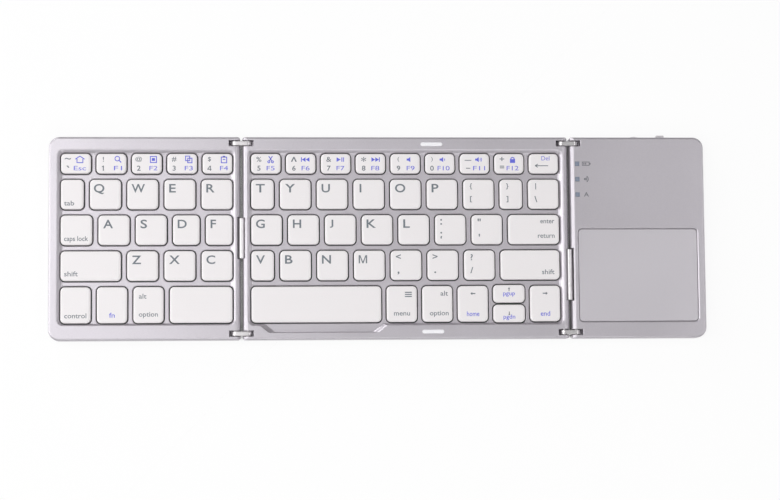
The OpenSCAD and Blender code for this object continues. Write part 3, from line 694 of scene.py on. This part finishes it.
def centre_shell():
    panel = key_panel("centre_frame", (INNER_CORNER_R, INNER_CORNER_R), (-1, 1), False)
    start = KEY_BOXES["space_key"][0][0].x + NOTCH_X
    panel.notch = (start, start + NOTCH_W, panel.recess[0][1])
    fold_seats(panel, 0.0)
    for low, high in islands("fold_bumpers"):
        r = (high.y - low.y) / 2
        floor = panel.z_rim - BUMPER_POCKET
        panel.cuts.append(Cut(low.x, low.y, high.x, high.y, r, FINE_EDGE, floor))
    return panel.build("centre_casing")


def right_shell():
    panel = Panel("right_top_cover", (INNER_CORNER_R, CORNER_R), (-1,), SKIN_T)
    opening(panel, box_mm("touchpad"), PAD_CLEAR, PAD_R, PAD_HOLE_EDGE)
    for low, high in islands("led_windows"):
        half = LED_SIDE / 2 + LED_CLEAR
        x, y = low.x + LED_SIDE / 2, (low.y + high.y) / 2
        panel.cuts.append(Cut(x - half, y - half, x + half, y + half, 0.1, FINE_EDGE))
    fold_seats(panel, SLEEVE_CLEAR)
    obj = panel.build("right_casing")
    rooms = {"power_switch": SWITCH_TRAVEL, "pairing_button": 0.0, "charging_socket": 0.0}
    for node, room in rooms.items():
        cut_rear_wall(obj, node, panel.y1, room)
    panel.set_normals(obj.data)
    return obj


def cut_rear_wall(obj, node, y_rear, room):
    """Open the upright rear wall for the part of a node that stands out of it, or for all of it.

    room is the way that a knob slides to the left.
    """
    points = [v.co / MM for v in frame["nodes"][node].data.vertices]
    points = [p for p in points if p.y > y_rear + REAR_PROUD] or points
    xs, zs = ([p[axis] for p in points] for axis in (0, 2))
    corners = [
        (x, y, z) for z in (min(zs) - REAR_CLEAR, max(zs) + REAR_CLEAR)
        for y in (y_rear - WALL - PAST, y_rear + PAST)
        for x in (min(xs) - REAR_CLEAR - room, max(xs) + REAR_CLEAR)
    ]
    sides = [(0, 2, 3, 1), (4, 5, 7, 6), (0, 1, 5, 4), (2, 6, 7, 3), (0, 4, 6, 2), (1, 3, 7, 5)]
    cutter = make_mesh("opening", corners, sides)
    mod = obj.modifiers.new("opening", "BOOLEAN")
    mod.operation = "DIFFERENCE"
    mod.solver = "MANIFOLD"
    mod.object = cutter
    graph = bpy.context.evaluated_depsgraph_get()
    graph.update()
    mesh = bpy.data.meshes.new_from_object(obj.evaluated_get(graph))
    obj.modifiers.clear()
    obj.data = mesh
    bpy.data.objects.remove(cutter)


# ---- lofted pieces ----


def loft(rings, closed_ends=True):
    """Points and faces of a skin over rings of equally many points, from the first to the last."""
    n = len(rings[0])
    verts = [point for ring in rings for point in ring]
    faces = []
    for start in range(0, len(verts) - n, n):
        for i in range(n):
            a, b = start + i, start + (i + 1) % n
            faces.append((a, b, b + n, a + n))
    if closed_ends:
        faces.append(tuple(reversed(range(n))))
        faces.append(tuple(range(len(verts) - n, len(verts))))
    return verts, faces


def merged(parts):
    """Points and faces of several parts as one."""
    verts, faces = [], []
    for v, f in parts:
        base = len(verts)
        verts.extend(v)
        faces.extend(tuple(i + base for i in face) for face in f)
    return verts, faces


def make_loft(name, parts):
    """One piece of several lofted parts, whose broad faces keep their own normals."""
    obj = make_mesh(name, *merged(parts))
    mod = obj.modifiers.new("broad_faces_lead", "WEIGHTED_NORMAL")
    mod.keep_sharp = True
    mod.weight = 90
    return obj


def ring_at(box, inset, z, r):
    """Ring of a rounded box at a height, a distance in from its sides."""
    low, high = box
    radius = max(r - inset, 0.15)
    rect = (low.x + inset, low.y + inset, high.x - inset, high.y - inset)
    return [(x, y, z) for x, y in rounded_rect(*rect, (radius, radius))]


# A keycap: lean of its skirt, radius of its edge, width of the border that rises to its flat
# top, and how high that border rises
CAP_DRAFT = 0.06
CAP_EDGE = 0.42
CAP_BORDER = 1.15
CAP_CROWN = 0.09
BORDER_STEPS = 4


def keycap(box):
    """Hollow keycap: upright skirt, soft edge, a gentle border and a flat top."""
    low, high = box
    border = high.z - CAP_CROWN
    profile = [
        (KEY_WALL, high.z - KEY_TOP), (KEY_WALL, low.z), (0.0, low.z),
        (CAP_DRAFT * 0.8, high.z - CAP_EDGE - CAP_CROWN),
    ]
    for k in range(1, SOFT_STEPS + 1):
        a = math.pi / 2 * k / SOFT_STEPS
        inset = CAP_DRAFT + CAP_EDGE * (1 - math.cos(a))
        profile.append((inset, border - CAP_EDGE * (1 - math.sin(a))))
    start = CAP_DRAFT + CAP_EDGE
    for k in range(1, BORDER_STEPS + 1):
        t = k / BORDER_STEPS
        rise = CAP_CROWN * math.sin(math.pi / 2 * t)
        profile.append((start + (CAP_BORDER - start) * t, border + rise))
    return loft([ring_at(box, inset, z, KEY_R) for inset, z in profile])


def stadium(centre, length, width, steps=12):
    """Outline with round ends, along X."""
    r = width / 2
    points = []
    for s, start in ((1, -90), (-1, 90)):
        for k in range(steps + 1):
            a = math.radians(start + 180 * k / steps)
            x = centre[0] + s * (length / 2 - r) + r * math.cos(a)
            points.append((x, centre[1] + r * math.sin(a)))
    return points


def disc(centre, profile, steps=48):
    """Rings about a vertical axis from (radius, height) pairs."""
    turns = [2 * math.pi * k / steps for k in range(steps)]
    return [
        [(centre[0] + r * math.cos(a), centre[1] + r * math.sin(a), z) for a in turns]
        for r, z in profile
    ]


def along_y(rings):
    """Turn rings about Z into rings along Y: (x, y, z) becomes (x, z, y)."""
    return [[(x, z, y) for x, y, z in reversed(ring)] for ring in rings]


def soft_edge(soft, steps=SOFT_STEPS):
    """(inset, drop) pairs over a rounded edge, from its side to its top."""
    return [(d, round_drop(d, soft)) for d in arc_offsets(soft, steps)]


def soft_ends(start, end, soft):
    """(inset, place) pairs along a length whose two ends have rounded edges."""
    edge = soft_edge(soft, 4)
    return [(d, start + drop) for d, drop in reversed(edge)] + [(d, end - drop) for d, drop in edge]


def bumpers():
    parts = []
    for low, high in islands("fold_bumpers"):
        length, width = high.x - low.x, high.y - low.y
        profile = [(0.0, low.z)] + [(d, high.z - drop) for d, drop in soft_edge(BUMPER_EDGE)]
        parts.append(loft([
            [(x, y, z) for x, y in stadium(middle(low, high), length - 2 * d, width - 2 * d)]
            for d, z in profile
        ]))
    return make_loft("bumper_pads", parts)


# Rings of a foot's hollow underside: (share of its radius, height above its lowest place)
FOOT_HOLLOW = ((0.55, 0.06), (0.66, 0.06), (0.70, 0.0))


def feet(node, name):
    parts = []
    for low, high in islands(node):
        r = (high.x - low.x) / 2
        profile = [(r * share, low.z + lift) for share, lift in FOOT_HOLLOW]
        profile += [(r - d, low.z + drop) for d, drop in reversed(soft_edge(FOOT_EDGE))]
        profile.append((r, high.z))
        parts.append(loft(disc(middle(low, high), profile)))
    return make_loft(name, parts)


def links(node, name):
    """Flat links with rounded ends and softened edges."""
    parts = []
    for low, high in islands(node):
        x, _, z = middle(low, high)
        length, width = high.x - low.x, high.z - low.z
        parts.append(loft(along_y([
            [(px, pz, y) for px, pz in stadium((x, z), length - 2 * d, width - 2 * d, 16)]
            for d, y in soft_ends(low.y, high.y, LINK_EDGE)
        ])))
    return make_loft(name, parts)


def sleeve_tubes():
    """Tubes with rounded ends and a softened bore."""
    parts = []
    steps = 40
    for low, high in SLEEVES:
        x, _, z = middle(low, high)
        profile = [(SLEEVE_BORE_R, low.y + BORE_EDGE), (SLEEVE_BORE_R + BORE_EDGE, low.y)]
        profile += [(SLEEVE_R - d, y) for d, y in soft_ends(low.y, high.y, SLEEVE_EDGE)]
        profile += [(SLEEVE_BORE_R + BORE_EDGE, high.y), (SLEEVE_BORE_R, high.y - BORE_EDGE)]
        verts, faces = loft(along_y(disc((x, z), profile, steps)), closed_ends=False)
        n = len(verts) - steps
        faces += [(n + k, n + (k + 1) % steps, (k + 1) % steps, k) for k in range(steps)]
        parts.append((verts, faces))
    return make_loft("sleeve_tubes", parts)


def touch_plate():
    box = box_mm("touchpad")
    profile = [(0.0, box[0].z)] + [(d, box[1].z - drop) for d, drop in soft_edge(PAD_EDGE)]
    return make_loft("touch_plate", [loft([ring_at(box, d, z, PAD_R) for d, z in profile])])


# ---- printed legends and marks ----

# Ink stands this far above a surface, and reaches this far into it.
INK_RISE = 0.012
INK_ROOT = 0.03
LINE = 0.37  # width of the lines in the small symbols
STROKE = 0.62  # width of a letter's strokes

CAP_SHARE = 0.682  # height of a capital letter in a text of size 1
# How much each outline of the font is widened, in a text of size 1
WORD_WEIGHT = 0.009
BLUE_WEIGHT = 0.0
LETTER_WEIGHT = 0.016
LETTER_H = 3.75


def glyphs(texts):
    """Mesh of each (text, weight) at size 1, one thick, from the built-in font."""
    objects = {}
    for text, weight in sorted(set(texts)):
        curve = bpy.data.curves.new("glyphs", "FONT")
        curve.body = text
        curve.extrude = 0.5
        curve.offset = weight
        curve.resolution_u = 4
        objects[text, weight] = add_object("glyphs", curve)
    graph = bpy.context.evaluated_depsgraph_get()
    graph.update()
    made = {}
    for text, obj in objects.items():
        mesh = bpy.data.meshes.new_from_object(obj.evaluated_get(graph))
        verts, faces, seen, spot = [], [], {}, []
        for v in mesh.vertices:
            place = tuple(round(c, 5) for c in v.co)
            if place not in seen:
                seen[place] = len(verts)
                verts.append(tuple(v.co))
            spot.append(seen[place])
        for f in mesh.polygons:
            face = [spot[i] for i in f.vertices]
            face = [i for k, i in enumerate(face) if i != face[k - 1]]
            if len(set(face)) >= 3:
                faces.append(tuple(face))
        made[text] = (verts, faces)
        curve = obj.data
        bpy.data.meshes.remove(mesh)
        bpy.data.objects.remove(obj)
        bpy.data.curves.remove(curve)
    return made


def prism(outline, z):
    """Solid of ink over an outline."""
    n = len(outline)
    verts = [(x, y, z - INK_ROOT) for x, y in outline] + [(x, y, z + INK_RISE) for x, y in outline]
    faces = [tuple(reversed(range(n))), tuple(range(n, 2 * n))]
    faces += [(k, (k + 1) % n, (k + 1) % n + n, k + n) for k in range(n)]
    return verts, faces


def bar(x0, y0, x1, y1, width=LINE):
    """Outline of a straight line with a width."""
    length = math.hypot(x1 - x0, y1 - y0)
    nx, ny = (y0 - y1) / length * width / 2, (x1 - x0) / length * width / 2
    return [(x0 - nx, y0 - ny), (x1 - nx, y1 - ny), (x1 + nx, y1 + ny), (x0 + nx, y0 + ny)]


def band(cx, cy, r, a0, a1, width=LINE, steps=14):
    """Outline of an arc with a width, from one angle to another."""
    turns = [math.radians(a0 + (a1 - a0) * k / steps) for k in range(steps + 1)]
    out = [(r + width / 2, a) for a in turns] + [(r - width / 2, a) for a in reversed(turns)]
    return [(cx + radius * math.cos(a), cy + radius * math.sin(a)) for radius, a in out]


def ring(cx, cy, r):
    """A circle, as two halves."""
    return [band(cx, cy, r, 0, 180), band(cx, cy, r, 180, 360)]


def frame_of(x0, y0, x1, y1, width=LINE):
    """The four sides of a rectangle."""
    h = width / 2
    return [
        bar(x0 - h, y0, x1 + h, y0, width), bar(x0 - h, y1, x1 + h, y1, width),
        bar(x0, y0 + h, x0, y1 - h, width), bar(x1, y0 + h, x1, y1 - h, width),
    ]


def speaker(waves):
    horn = [
        [(-1.5, -0.4), (-0.9, -0.4), (-0.9, 0.4), (-1.5, 0.4)],
        [(-0.9, -0.4), (-0.1, -1.0), (-0.1, 1.0), (-0.9, 0.4)],
    ]
    return horn + [band(0.0, 0.0, 0.5 + 0.5 * k, -50, 50, 0.24) for k in range(waves)]


def arrow(turn):
    """Arrow to the left, turned by an angle."""
    a, b = math.cos(math.radians(turn)), math.sin(math.radians(turn))
    shapes = [bar(-0.5, 0, 1.15, 0, 0.5), [(-1.2, 0.0), (-0.3, -0.72), (-0.3, 0.72)]]
    return [[(a * x - b * y, b * x + a * y) for x, y in s] for s in shapes]


def skip(way):
    """Two triangles and a bar, to the right or, with way -1, to the left."""
    shapes = [bar(1.7, -0.95, 1.7, 0.95)]
    shapes += [[(x, -0.95), (x + 1.55, 0.0), (x, 0.95)] for x in (-1.6, 0.0)]
    return [[(way * x, y) for x, y in s][::way] for s in shapes]


def letter_m():
    half, tall, top, foot = 1.95, LETTER_H, STROKE * 1.25, STROKE / 2.4
    right = [
        (foot, 0), (half - STROKE, tall - top), (half - STROKE, 0), (half, 0), (half, tall),
        (half - top, tall), (0, top),
    ]
    left = [(-x, y) for x, y in reversed(right[:-1])]
    return [left[2:] + right + left[:2]]


# Outlines of each small symbol about its own centre, in millimetres
SYMBOLS = {
    "M": letter_m(),
    "4": [bar(0.45, -1.15, 0.45, 1.15), bar(-0.95, -0.5, 0.95, -0.5), bar(-0.85, -0.45, 0.35, 1.1)],
    "flag of the 1": [bar(0.0, -0.1, -0.65, -0.65, 0.32)],
    "back": [bar(-2.9, 0, 2.95, 0), bar(-3.1, 0, -1.9, 0.75), bar(-3.1, 0, -1.9, -0.75)],
    ":": [bar(-0.36, y, 0.36, y, 0.72) for y in (-0.95, 0.95)],
    ";": [bar(-0.36, 0.95, 0.36, 0.95, 0.72), bar(0.08, -0.6, -0.16, -1.7, 0.6)],
    "left": arrow(0),
    "right": arrow(180),
    "up": arrow(-90),
    "down": arrow(90),
    "house": [
        bar(-1.9, 0.1, 0.0, 1.4), bar(0.0, 1.4, 1.9, 0.1), bar(-1.2, 0.3, -1.2, -1.3),
        bar(1.2, 0.3, 1.2, -1.3), bar(-1.35, -1.3, 1.35, -1.3),
    ],
    "lens": ring(-0.3, 0.35, 0.95) + [bar(0.4, -0.35, 1.3, -1.25, 0.42)],
    "select": frame_of(-1.25, -1.25, 1.25, 1.25) + [bar(-0.65, 0, 0.65, 0, 1.2)],
    "copy": frame_of(-1.3, -0.5, 0.4, 1.4) + frame_of(-0.4, -1.35, 1.3, 0.55),
    "paste": frame_of(-1.1, -1.35, 1.1, 1.0) + [
        bar(-0.5, 1.2, 0.5, 1.2, 0.6), bar(-0.5, 0, 0.5, 0)
    ],
    "cut": ring(-0.75, -0.95, 0.42) + ring(0.75, -0.95, 0.42) + [
        bar(-0.5, -0.55, 0.75, 1.4), bar(0.5, -0.55, -0.75, 1.4)
    ],
    "previous": skip(-1),
    "next": skip(1),
    "play": [
        [(-1.6, -0.95), (0.1, 0.0), (-1.6, 0.95)], bar(0.6, -0.9, 0.6, 0.9),
        bar(1.3, -0.9, 1.3, 0.9),
    ],
    "speaker": speaker(0),
    "quiet speaker": speaker(1),
    "loud speaker": speaker(2),
    "lock": [bar(-1.0, -0.55, 1.0, -0.55, 1.5), band(0.0, 0.2, 0.65, 0, 180)],
    "menu": [bar(-1.6, y, 1.6, y, 0.5) for y in (-0.95, 0.0, 0.95)],
    "battery": frame_of(-1.9, -0.8, 1.3, 0.8, 0.34) + [
        bar(1.45, 0, 2.0, 0, 0.8), bar(-1.15, -0.45, -1.15, 0.45, 0.55),
        bar(-0.3, -0.45, -0.3, 0.45, 0.55),
    ],
    "waves": [band(-0.8, 0, 0.25, 0, 360, 0.5, 20)] + [
        band(-0.8, 0, r, -58, 58, 0.42) for r in (0.85, 1.57)
    ],
}

# Width of a letter beside its height, where it isn't as the others are.
LETTER_STRETCH = {
    "W": 1.02, "E": 1.28, "S": 1.3, "T": 1.24, "Y": 1.24, "P": 1.26, "B": 1.26, "L": 1.26,
    "K": 1.24, "J": 1.5, "R": 1.2,
}

# The number row from left to right: blue symbols, then the two grey signs of each key
ROW_SYMBOLS = (
    "house", "lens", "select", "copy", "paste", "cut", "previous", "play", "next", "speaker",
    "quiet speaker", "loud speaker", "lock",
)
NUMBER_SIGNS = ("~`", "!1", "@2", "#3", "$4", "%5", "^6", "&7", "*8", "(9", ")0", "_-", "+=")
LETTERS = {1: "QWERTYUIOP", 2: "ASDFGHJKL", 3: "ZXCVBNM"}
PAIRS = {1: ("{[", "}]", "|\\"), 2: (":;", "\"'"), 3: ("<,", ">.", "?/")}

# (row, key, text, side it is set from, inset, baseline above the key's front edge, width)
WORDS = (
    (1, 0, "tab", "left", 1.55, 1.75, 4.6),
    (2, 0, "caps lock", "left", 1.65, 1.9, 10.9),
    (3, 0, "shift", "left", 1.75, 2.2, 6.2),
    (5, 0, "control", "left", 1.9, 2.4, 10.0),
    (5, 1, "fn", "middle", 0.0, 2.6, 2.6),
    (5, 2, "alt", "left", 2.5, 11.25, 3.5),
    (5, 2, "option", "left", 2.5, 3.0, 8.7),
    (5, 5, "menu", "middle", 0.0, 3.0, 7.4),
    (5, 6, "alt", "right", 2.1, 12.1, 3.5),
    (5, 6, "option", "right", 1.9, 3.0, 8.7),
    (5, 7, "home", "middle", 0.0, 2.6, 5.75),
    (4, 0, "pgup", "middle", 0.0, 3.4, 5.5),
    (5, 8, "end", "middle", 0.0, 2.6, 4.4),
    (6, 0, "pgdn", "middle", 0.0, 1.7, 5.5),
    (2, 12, "enter", "right", 2.2, 9.7, 6.6),
    (2, 12, "return", "right", 2.2, 2.9, 7.8),
    (3, 11, "shift", "right", 2.5, 2.5, 5.8),
)
BLUE_WORDS = ("fn", "home", "end", "pgup", "pgdn")
WORD_H = 2.15
PAGE_H = 1.9  # of the words on the two low keys

# (row, key, mark, height of its middle above the front edge)
ARROWS = ((5, 7, "left", 13.0), (5, 8, "right", 13.0), (4, 0, "up", 6.2), (6, 0, "down", 4.1))
SMALL_ARROW = 0.75


def key_rows():
    """Rows of (node, low, high) from the rear to the front, each from left to right."""
    rows = {}
    for node, boxes in KEY_BOXES.items():
        for low, high in boxes:
            rows.setdefault(-round(high.y * 5), []).append((node, low, high))
    return [sorted(rows[k], key=lambda b: b[1].x) for k in sorted(rows)]


class Print:
    """Collects ink in its colours for each node, then makes one piece of each."""

    def __init__(self):
        self.texts = []
        self.parts = {}

    def text(
        self, node, ink, text, height, at, base, z,
        width=None, side="middle", top=None, weight=WORD_WEIGHT, stretch=1.12,
    ):
        """A text on a baseline, or hung from its top.

        at is the x of its middle, or of the side it is set from. Its height is that of a capital
        letter, or if it hangs, its own.
        """
        self.texts.append(
            (text, weight, (node, ink), height, at, base, z, width, side, top, stretch)
        )

    def shape(self, node, ink, outline, z):
        self.parts.setdefault((node, ink), []).append(prism(outline, z))

    def mark(self, node, ink, name, x, y, z, size=1.0):
        for outline in SYMBOLS[name]:
            self.shape(node, ink, [(x + size * px, y + size * py) for px, py in outline], z)

    def make(self):
        made = glyphs([t[:2] for t in self.texts])
        parts = {}
        for text, weight, key, height, at, base, z, width, side, top, stretch in self.texts:
            verts, faces = made[text, weight]
            xs, ys, _ = zip(*verts)
            tall = height / CAP_SHARE if top is None else height / (max(ys) - min(ys))
            wide = tall * stretch if width is None else width / (max(xs) - min(xs))
            span = (max(xs) - min(xs)) * wide
            left = at - min(xs) * wide - {"left": 0.0, "middle": span / 2, "right": span}[side]
            y0 = base if top is None else top - max(ys) * tall
            placed = [
                (left + v[0] * wide, y0 + v[1] * tall, z + (INK_RISE if v[2] > 0 else -INK_ROOT))
                for v in verts
            ]
            parts.setdefault(key, []).append((placed, faces))
        for key, shapes in self.parts.items():
            parts.setdefault(key, []).extend(shapes)
        for (node, ink), pieces in sorted(parts.items()):
            obj = make_mesh(f"print_{node}_{ink}", *merged(pieces), smooth_angle=10.0)
            obj.data.materials.append(INKS[ink])
            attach(obj, BODY_OF[node])


# Heights of signs in the number row that aren't as tall as the others
SIGN_H = {"~": 0.8, "+": 1.9, "`": 1.0, "=": 1.2}
# Distances of a key's grey signs and of its blue word from its left side: for the keys of the
# left panel and of the centre one, and for single keys by their number in the row
SIGN_X = (3.2, 3.65)
SIGN_X_OF = {10: 3.1, 11: 3.8, 12: 3.5}
BLUE_X = (9.9, 9.05)
BLUE_X_OF = {0: 8.7, 9: 9.3, 10: 8.5, 11: 8.95, 12: 8.45}


def print_number_row(ink, row):
    for k, (node, low, high) in enumerate(row[:-1]):
        panel = 0 if high.x < LEFT_X else 1
        x = low.x + SIGN_X_OF.get(k, SIGN_X[panel])
        upper, lower = NUMBER_SIGNS[k]
        z = high.z
        if upper == "_":
            for y, span in ((high.y - 3.1, 3.1), (low.y + 2.4, 2.0)):
                ink.shape(node, "grey", bar(x - span / 2, y, x + span / 2, y), z)
        else:
            ink.text(
                node, "grey", upper, SIGN_H.get(upper, 2.3), x, 0, z,
                3.1 if upper == "@" else None, top=high.y - (1.5 if k else 2.0),
            )
            if lower == "4":
                ink.mark(node, "grey", "4", x, low.y + 2.4, z)
            else:
                ink.text(
                    node, "grey", lower, SIGN_H.get(lower, 2.35), x, 0, z,
                    top=low.y + 3.6, weight=LETTER_WEIGHT,
                )
            if lower == "1":
                ink.mark(node, "grey", "flag of the 1", x, low.y + 3.6, z)
        x = low.x + BLUE_X_OF.get(k, BLUE_X[panel])
        word, width = (f"F{k}", 3.7 if k < 10 else 5.6) if k else ("Esc", 5.6)
        ink.text(node, "blue", word, 2.0, x, low.y + 1.45, z, width, weight=BLUE_WEIGHT)
        ink.mark(node, "blue", ROW_SYMBOLS[k], x, high.y - 2.75, z, 1.2 if k > 8 else 1.12)
    node, low, high = row[-1]
    ink.text(node, "blue", "Del", 2.0, low.x + 7.75, high.y - 3.1, high.z, 3.8, weight=BLUE_WEIGHT)
    ink.mark(node, "grey", "back", low.x + 6.0, high.y - 5.6, high.z)


# Distance of a letter from its key's left side and of its foot from the rear side
LETTER_INSETS = {"I": 2.8, "Y": 2.4, "Q": 1.8, "W": 2.0}
LETTER_INSET = 2.2
LETTER_FOOT = 5.95

# Signs of the punctuation keys: distance of their tops from the key's rear side, how much
# lower than that some of them hang, and the heights of those that aren't 2.9 tall
PAIR_TOPS = (1.8, 7.8)
PAIR_DROP = {",": 2.0, ".": 2.0, "'": 1.1}
PAIR_H = {"\"": 1.3, "'": 1.3, ",": 1.4, ".": 0.8, "<": 2.2, ">": 2.2}


def print_letters(ink, row, letters):
    for letter, (node, low, high) in zip(letters, row[1:]):
        x, y = low.x + LETTER_INSETS.get(letter, LETTER_INSET), high.y - LETTER_FOOT
        if letter == "M":
            ink.mark(node, "grey", "M", x + 1.9, y, high.z)
            continue
        ink.text(
            node, "grey", letter, LETTER_H, x, y, high.z,
            side="left", top=high.y - 2.2 if letter == "J" else None,
            weight=LETTER_WEIGHT, stretch=LETTER_STRETCH.get(letter, 1.14),
        )


def print_pairs(ink, row, pairs):
    for pair, (node, low, high) in zip(pairs, row):
        for sign, top in zip(pair, PAIR_TOPS):
            if sign in ":;":
                ink.mark(node, "grey", sign, low.x + 2.8, high.y - top - 1.5, high.z)
            else:
                ink.text(
                    node, "grey", sign, PAIR_H.get(sign, 2.9), low.x + 3.5, 0, high.z,
                    top=high.y - top - PAIR_DROP.get(sign, 0.0), weight=LETTER_WEIGHT,
                )


def print_keys(ink):
    rows = key_rows()
    print_number_row(ink, rows[0])
    for r, letters in LETTERS.items():
        print_letters(ink, rows[r], letters)
        print_pairs(ink, rows[r][len(letters) + 1:], PAIRS[r])
    for r, k, text, side, inset, base, width in WORDS:
        node, low, high = rows[r][k]
        colour = "blue" if text in BLUE_WORDS else "grey"
        height = PAGE_H if text.startswith("pg") else WORD_H
        at = {"left": low.x + inset, "middle": (low.x + high.x) / 2, "right": high.x - inset}[side]
        ink.text(node, colour, text, height, at, low.y + base, high.z, width, side)
    node, low, high = rows[5][5]
    ink.mark(node, "grey", "menu", high.x - 4.0, high.y - 3.9, high.z)
    for r, k, name, base in ARROWS:
        node, low, high = rows[r][k]
        size = 1.0 if r == 5 else SMALL_ARROW
        ink.mark(node, "grey", name, (low.x + high.x) / 2, low.y + base, high.z, size)


def print_panel(ink):
    """Marks beside the three indicator windows."""
    node = "right_top_cover"
    z = box_mm(node)[1].z
    lamps = islands("led_windows")
    x = lamps[0][1].x + 2.8
    battery, waves, letter = ((high.y + low.y) / 2 for low, high in lamps)
    ink.mark(node, "case", "battery", x, battery, z)
    ink.mark(node, "case", "waves", x, waves, z)
    ink.text(node, "case", "A", 1.95, x - 0.2, letter - 0.95, z, 2.35, weight=LETTER_WEIGHT)


# ---- build the pieces ----

finish_piece(left_shell(), "silver_casing", "left_panel", "left_frame")
finish_piece(centre_shell(), "silver_casing", "centre_panel", "centre_frame")
finish_piece(right_shell(), "silver_casing", "right_panel", "right_top_cover")
finish_piece(touch_plate(), "touch_surface", "right_panel", "touchpad")
finish_piece(bumpers(), "pad_rubber", "centre_panel", "fold_bumpers")
finish_piece(sleeve_tubes(), "hinge_steel", "centre_panel", "cable_sleeves")
for side in ("left", "right"):
    node = side + "_hinge_links"
    finish_piece(links(node, side + "_links"), "hinge_steel", side + "_links", node)
for side in ("left", "centre", "right"):
    node = side + "_feet"
    finish_piece(feet(node, side + "_foot_pads"), "pad_rubber", side + "_panel", node)
for node, boxes in KEY_BOXES.items():
    caps = make_loft("cap_" + node, [keycap(box) for box in boxes])
    finish_piece(caps, "keycaps", node, node)
ink = Print()
print_keys(ink)
print_panel(ink)
ink.make()
for node, obj in frame["nodes"].items():
    if not obj.hide_render:
        for material_slot in obj.material_slots:
            material_slot.material = MATERIALS[SLOT_OF[node]]


# ---- camera, floor and light ----

# Fitted to the photograph: focal length in its pixels, place, and the turns one after another
FOCAL_PX = 2200.0
PHOTO_W_PX = 780
CAMERA_AT = (-64.35, -96.875, 1017.0)
CAMERA_TURNS = (("Z", -0.14), ("X", 5.17), ("Y", -3.88))
SENSOR_W = 36.0


def add_camera():
    cam = bpy.data.cameras.new("camera")
    cam.sensor_width = SENSOR_W
    cam.lens = FOCAL_PX / PHOTO_W_PX * SENSOR_W
    cam.clip_start, cam.clip_end = 0.05, 20
    obj = add_object("camera", cam)
    obj.location = Vector(CAMERA_AT) * MM
    turn = Matrix.Identity(3)
    for axis, angle in CAMERA_TURNS:
        turn = turn @ Matrix.Rotation(math.radians(angle), 3, axis)
    obj.rotation_euler = turn.to_euler()
    bpy.context.scene.camera = obj


# Soft lamps: (name, azimuth, elevation in degrees, distance in metres, size in metres, watts).
# Azimuth 0 is to the right of the object, 90 behind it, 180 to its left.
LAMPS = (
    ("left_low", 180, 12, 1.3, (1.1, 0.30), 6.4),
    ("left_second", 180, 28, 1.3, (1.1, 0.34), 2.0),
    ("left_third", 180, 44, 1.3, (1.1, 0.34), 2.4),
    ("left_high", 180, 60, 1.3, (1.1, 0.34), 2.55),
    ("left_top", 180, 75, 1.4, (1.1, 0.34), 4.5),
    ("front", 270, 40, 1.3, (1.1, 0.60), 4.75),
    ("right_low", 0, 12, 1.3, (1.1, 0.30), 2.3),
    ("right_high", 0, 56, 1.3, (1.1, 0.40), 3.8),
    ("rear_top", 90, 68, 1.4, (1.1, 0.40), 0.85),
    ("left_rear", 125, 20, 1.3, (0.5, 0.35), 4.0),
)
FILL_LIGHT = 0.05


def area_light(name, azimuth, elevation, distance, size, watts):
    """Rectangular lamp aimed at the origin."""
    light = bpy.data.lights.new(name, "AREA")
    light.shape = "RECTANGLE"
    light.size, light.size_y = size
    light.energy = watts
    obj = add_object(name, light)
    turn, lift = math.radians(azimuth), math.radians(elevation)
    obj.location = distance * Vector(
        (math.cos(turn) * math.cos(lift), math.sin(turn) * math.cos(lift), math.sin(lift))
    )
    obj.rotation_euler = (-obj.location).to_track_quat("-Z", "Y").to_euler()


FLOOR_SIZE = 12.0  # metres
FLOOR_GREY = 0.86
SHADOW_REACH = 6.0  # of the shade under the object, in millimetres
SHADOW_OPENNESS = (0.05, 0.42)  # openness to the sky at which the floor is black, and white
FLOOR_SHARE = 0.9  # how much of what the camera and mirrors see is that white


def add_floor():
    """Floor that cameras and mirrors see white where it is open, and dark under the object."""
    size = FLOOR_SIZE
    mesh = bpy.data.meshes.new("floor")
    corners = [(-size, -size, 0), (size, -size, 0), (size, size, 0), (-size, size, 0)]
    mesh.from_pydata(corners, [], [(0, 1, 2, 3)])
    mat, tree, shader, out = new_material("floor")
    shader.inputs["Base Color"].default_value = (FLOOR_GREY, FLOOR_GREY, FLOOR_GREY, 1)
    shader.inputs["Roughness"].default_value = 0.9
    shade = new_node(tree, "AmbientOcclusion", Distance=SHADOW_REACH * MM)
    shade.samples = 8
    dark, bright = SHADOW_OPENNESS
    openness = new_node(tree, "MapRange", From_Min=dark, From_Max=bright)
    glow = new_node(tree, "Emission")
    path = new_node(tree, "LightPath")
    first, second, share = (new_node(tree, "Math") for _ in range(3))
    first.operation = second.operation = "MAXIMUM"
    share.operation = "MULTIPLY"
    share.inputs[1].default_value = FLOOR_SHARE
    mix = new_node(tree, "MixShader")
    wire(
        tree,
        (shade.outputs["AO"], openness.inputs["Value"]),
        (openness.outputs[0], glow.inputs["Strength"]),
        (path.outputs["Is Camera Ray"], first.inputs[0]),
        (path.outputs["Is Transmission Ray"], first.inputs[1]),
        (path.outputs["Is Glossy Ray"], second.inputs[0]), (first.outputs[0], second.inputs[1]),
        (second.outputs[0], share.inputs[0]), (share.outputs[0], mix.inputs[0]),
        (shader.outputs[0], mix.inputs[1]), (glow.outputs[0], mix.inputs[2]),
        (mix.outputs[0], out.inputs[0]),
    )
    mesh.materials.append(mat)
    add_object("floor", mesh)


def add_world():
    world = bpy.data.worlds.new("world")
    bpy.context.scene.world = world
    world.use_nodes = True
    fill = world.node_tree.nodes["Background"]
    fill.inputs["Color"].default_value = (1, 1, 1, 1)
    fill.inputs["Strength"].default_value = FILL_LIGHT


add_camera()
add_floor()
add_world()
for lamp in LAMPS:
    area_light(*lamp)

bpy.context.scene.view_settings.view_transform = "Standard"
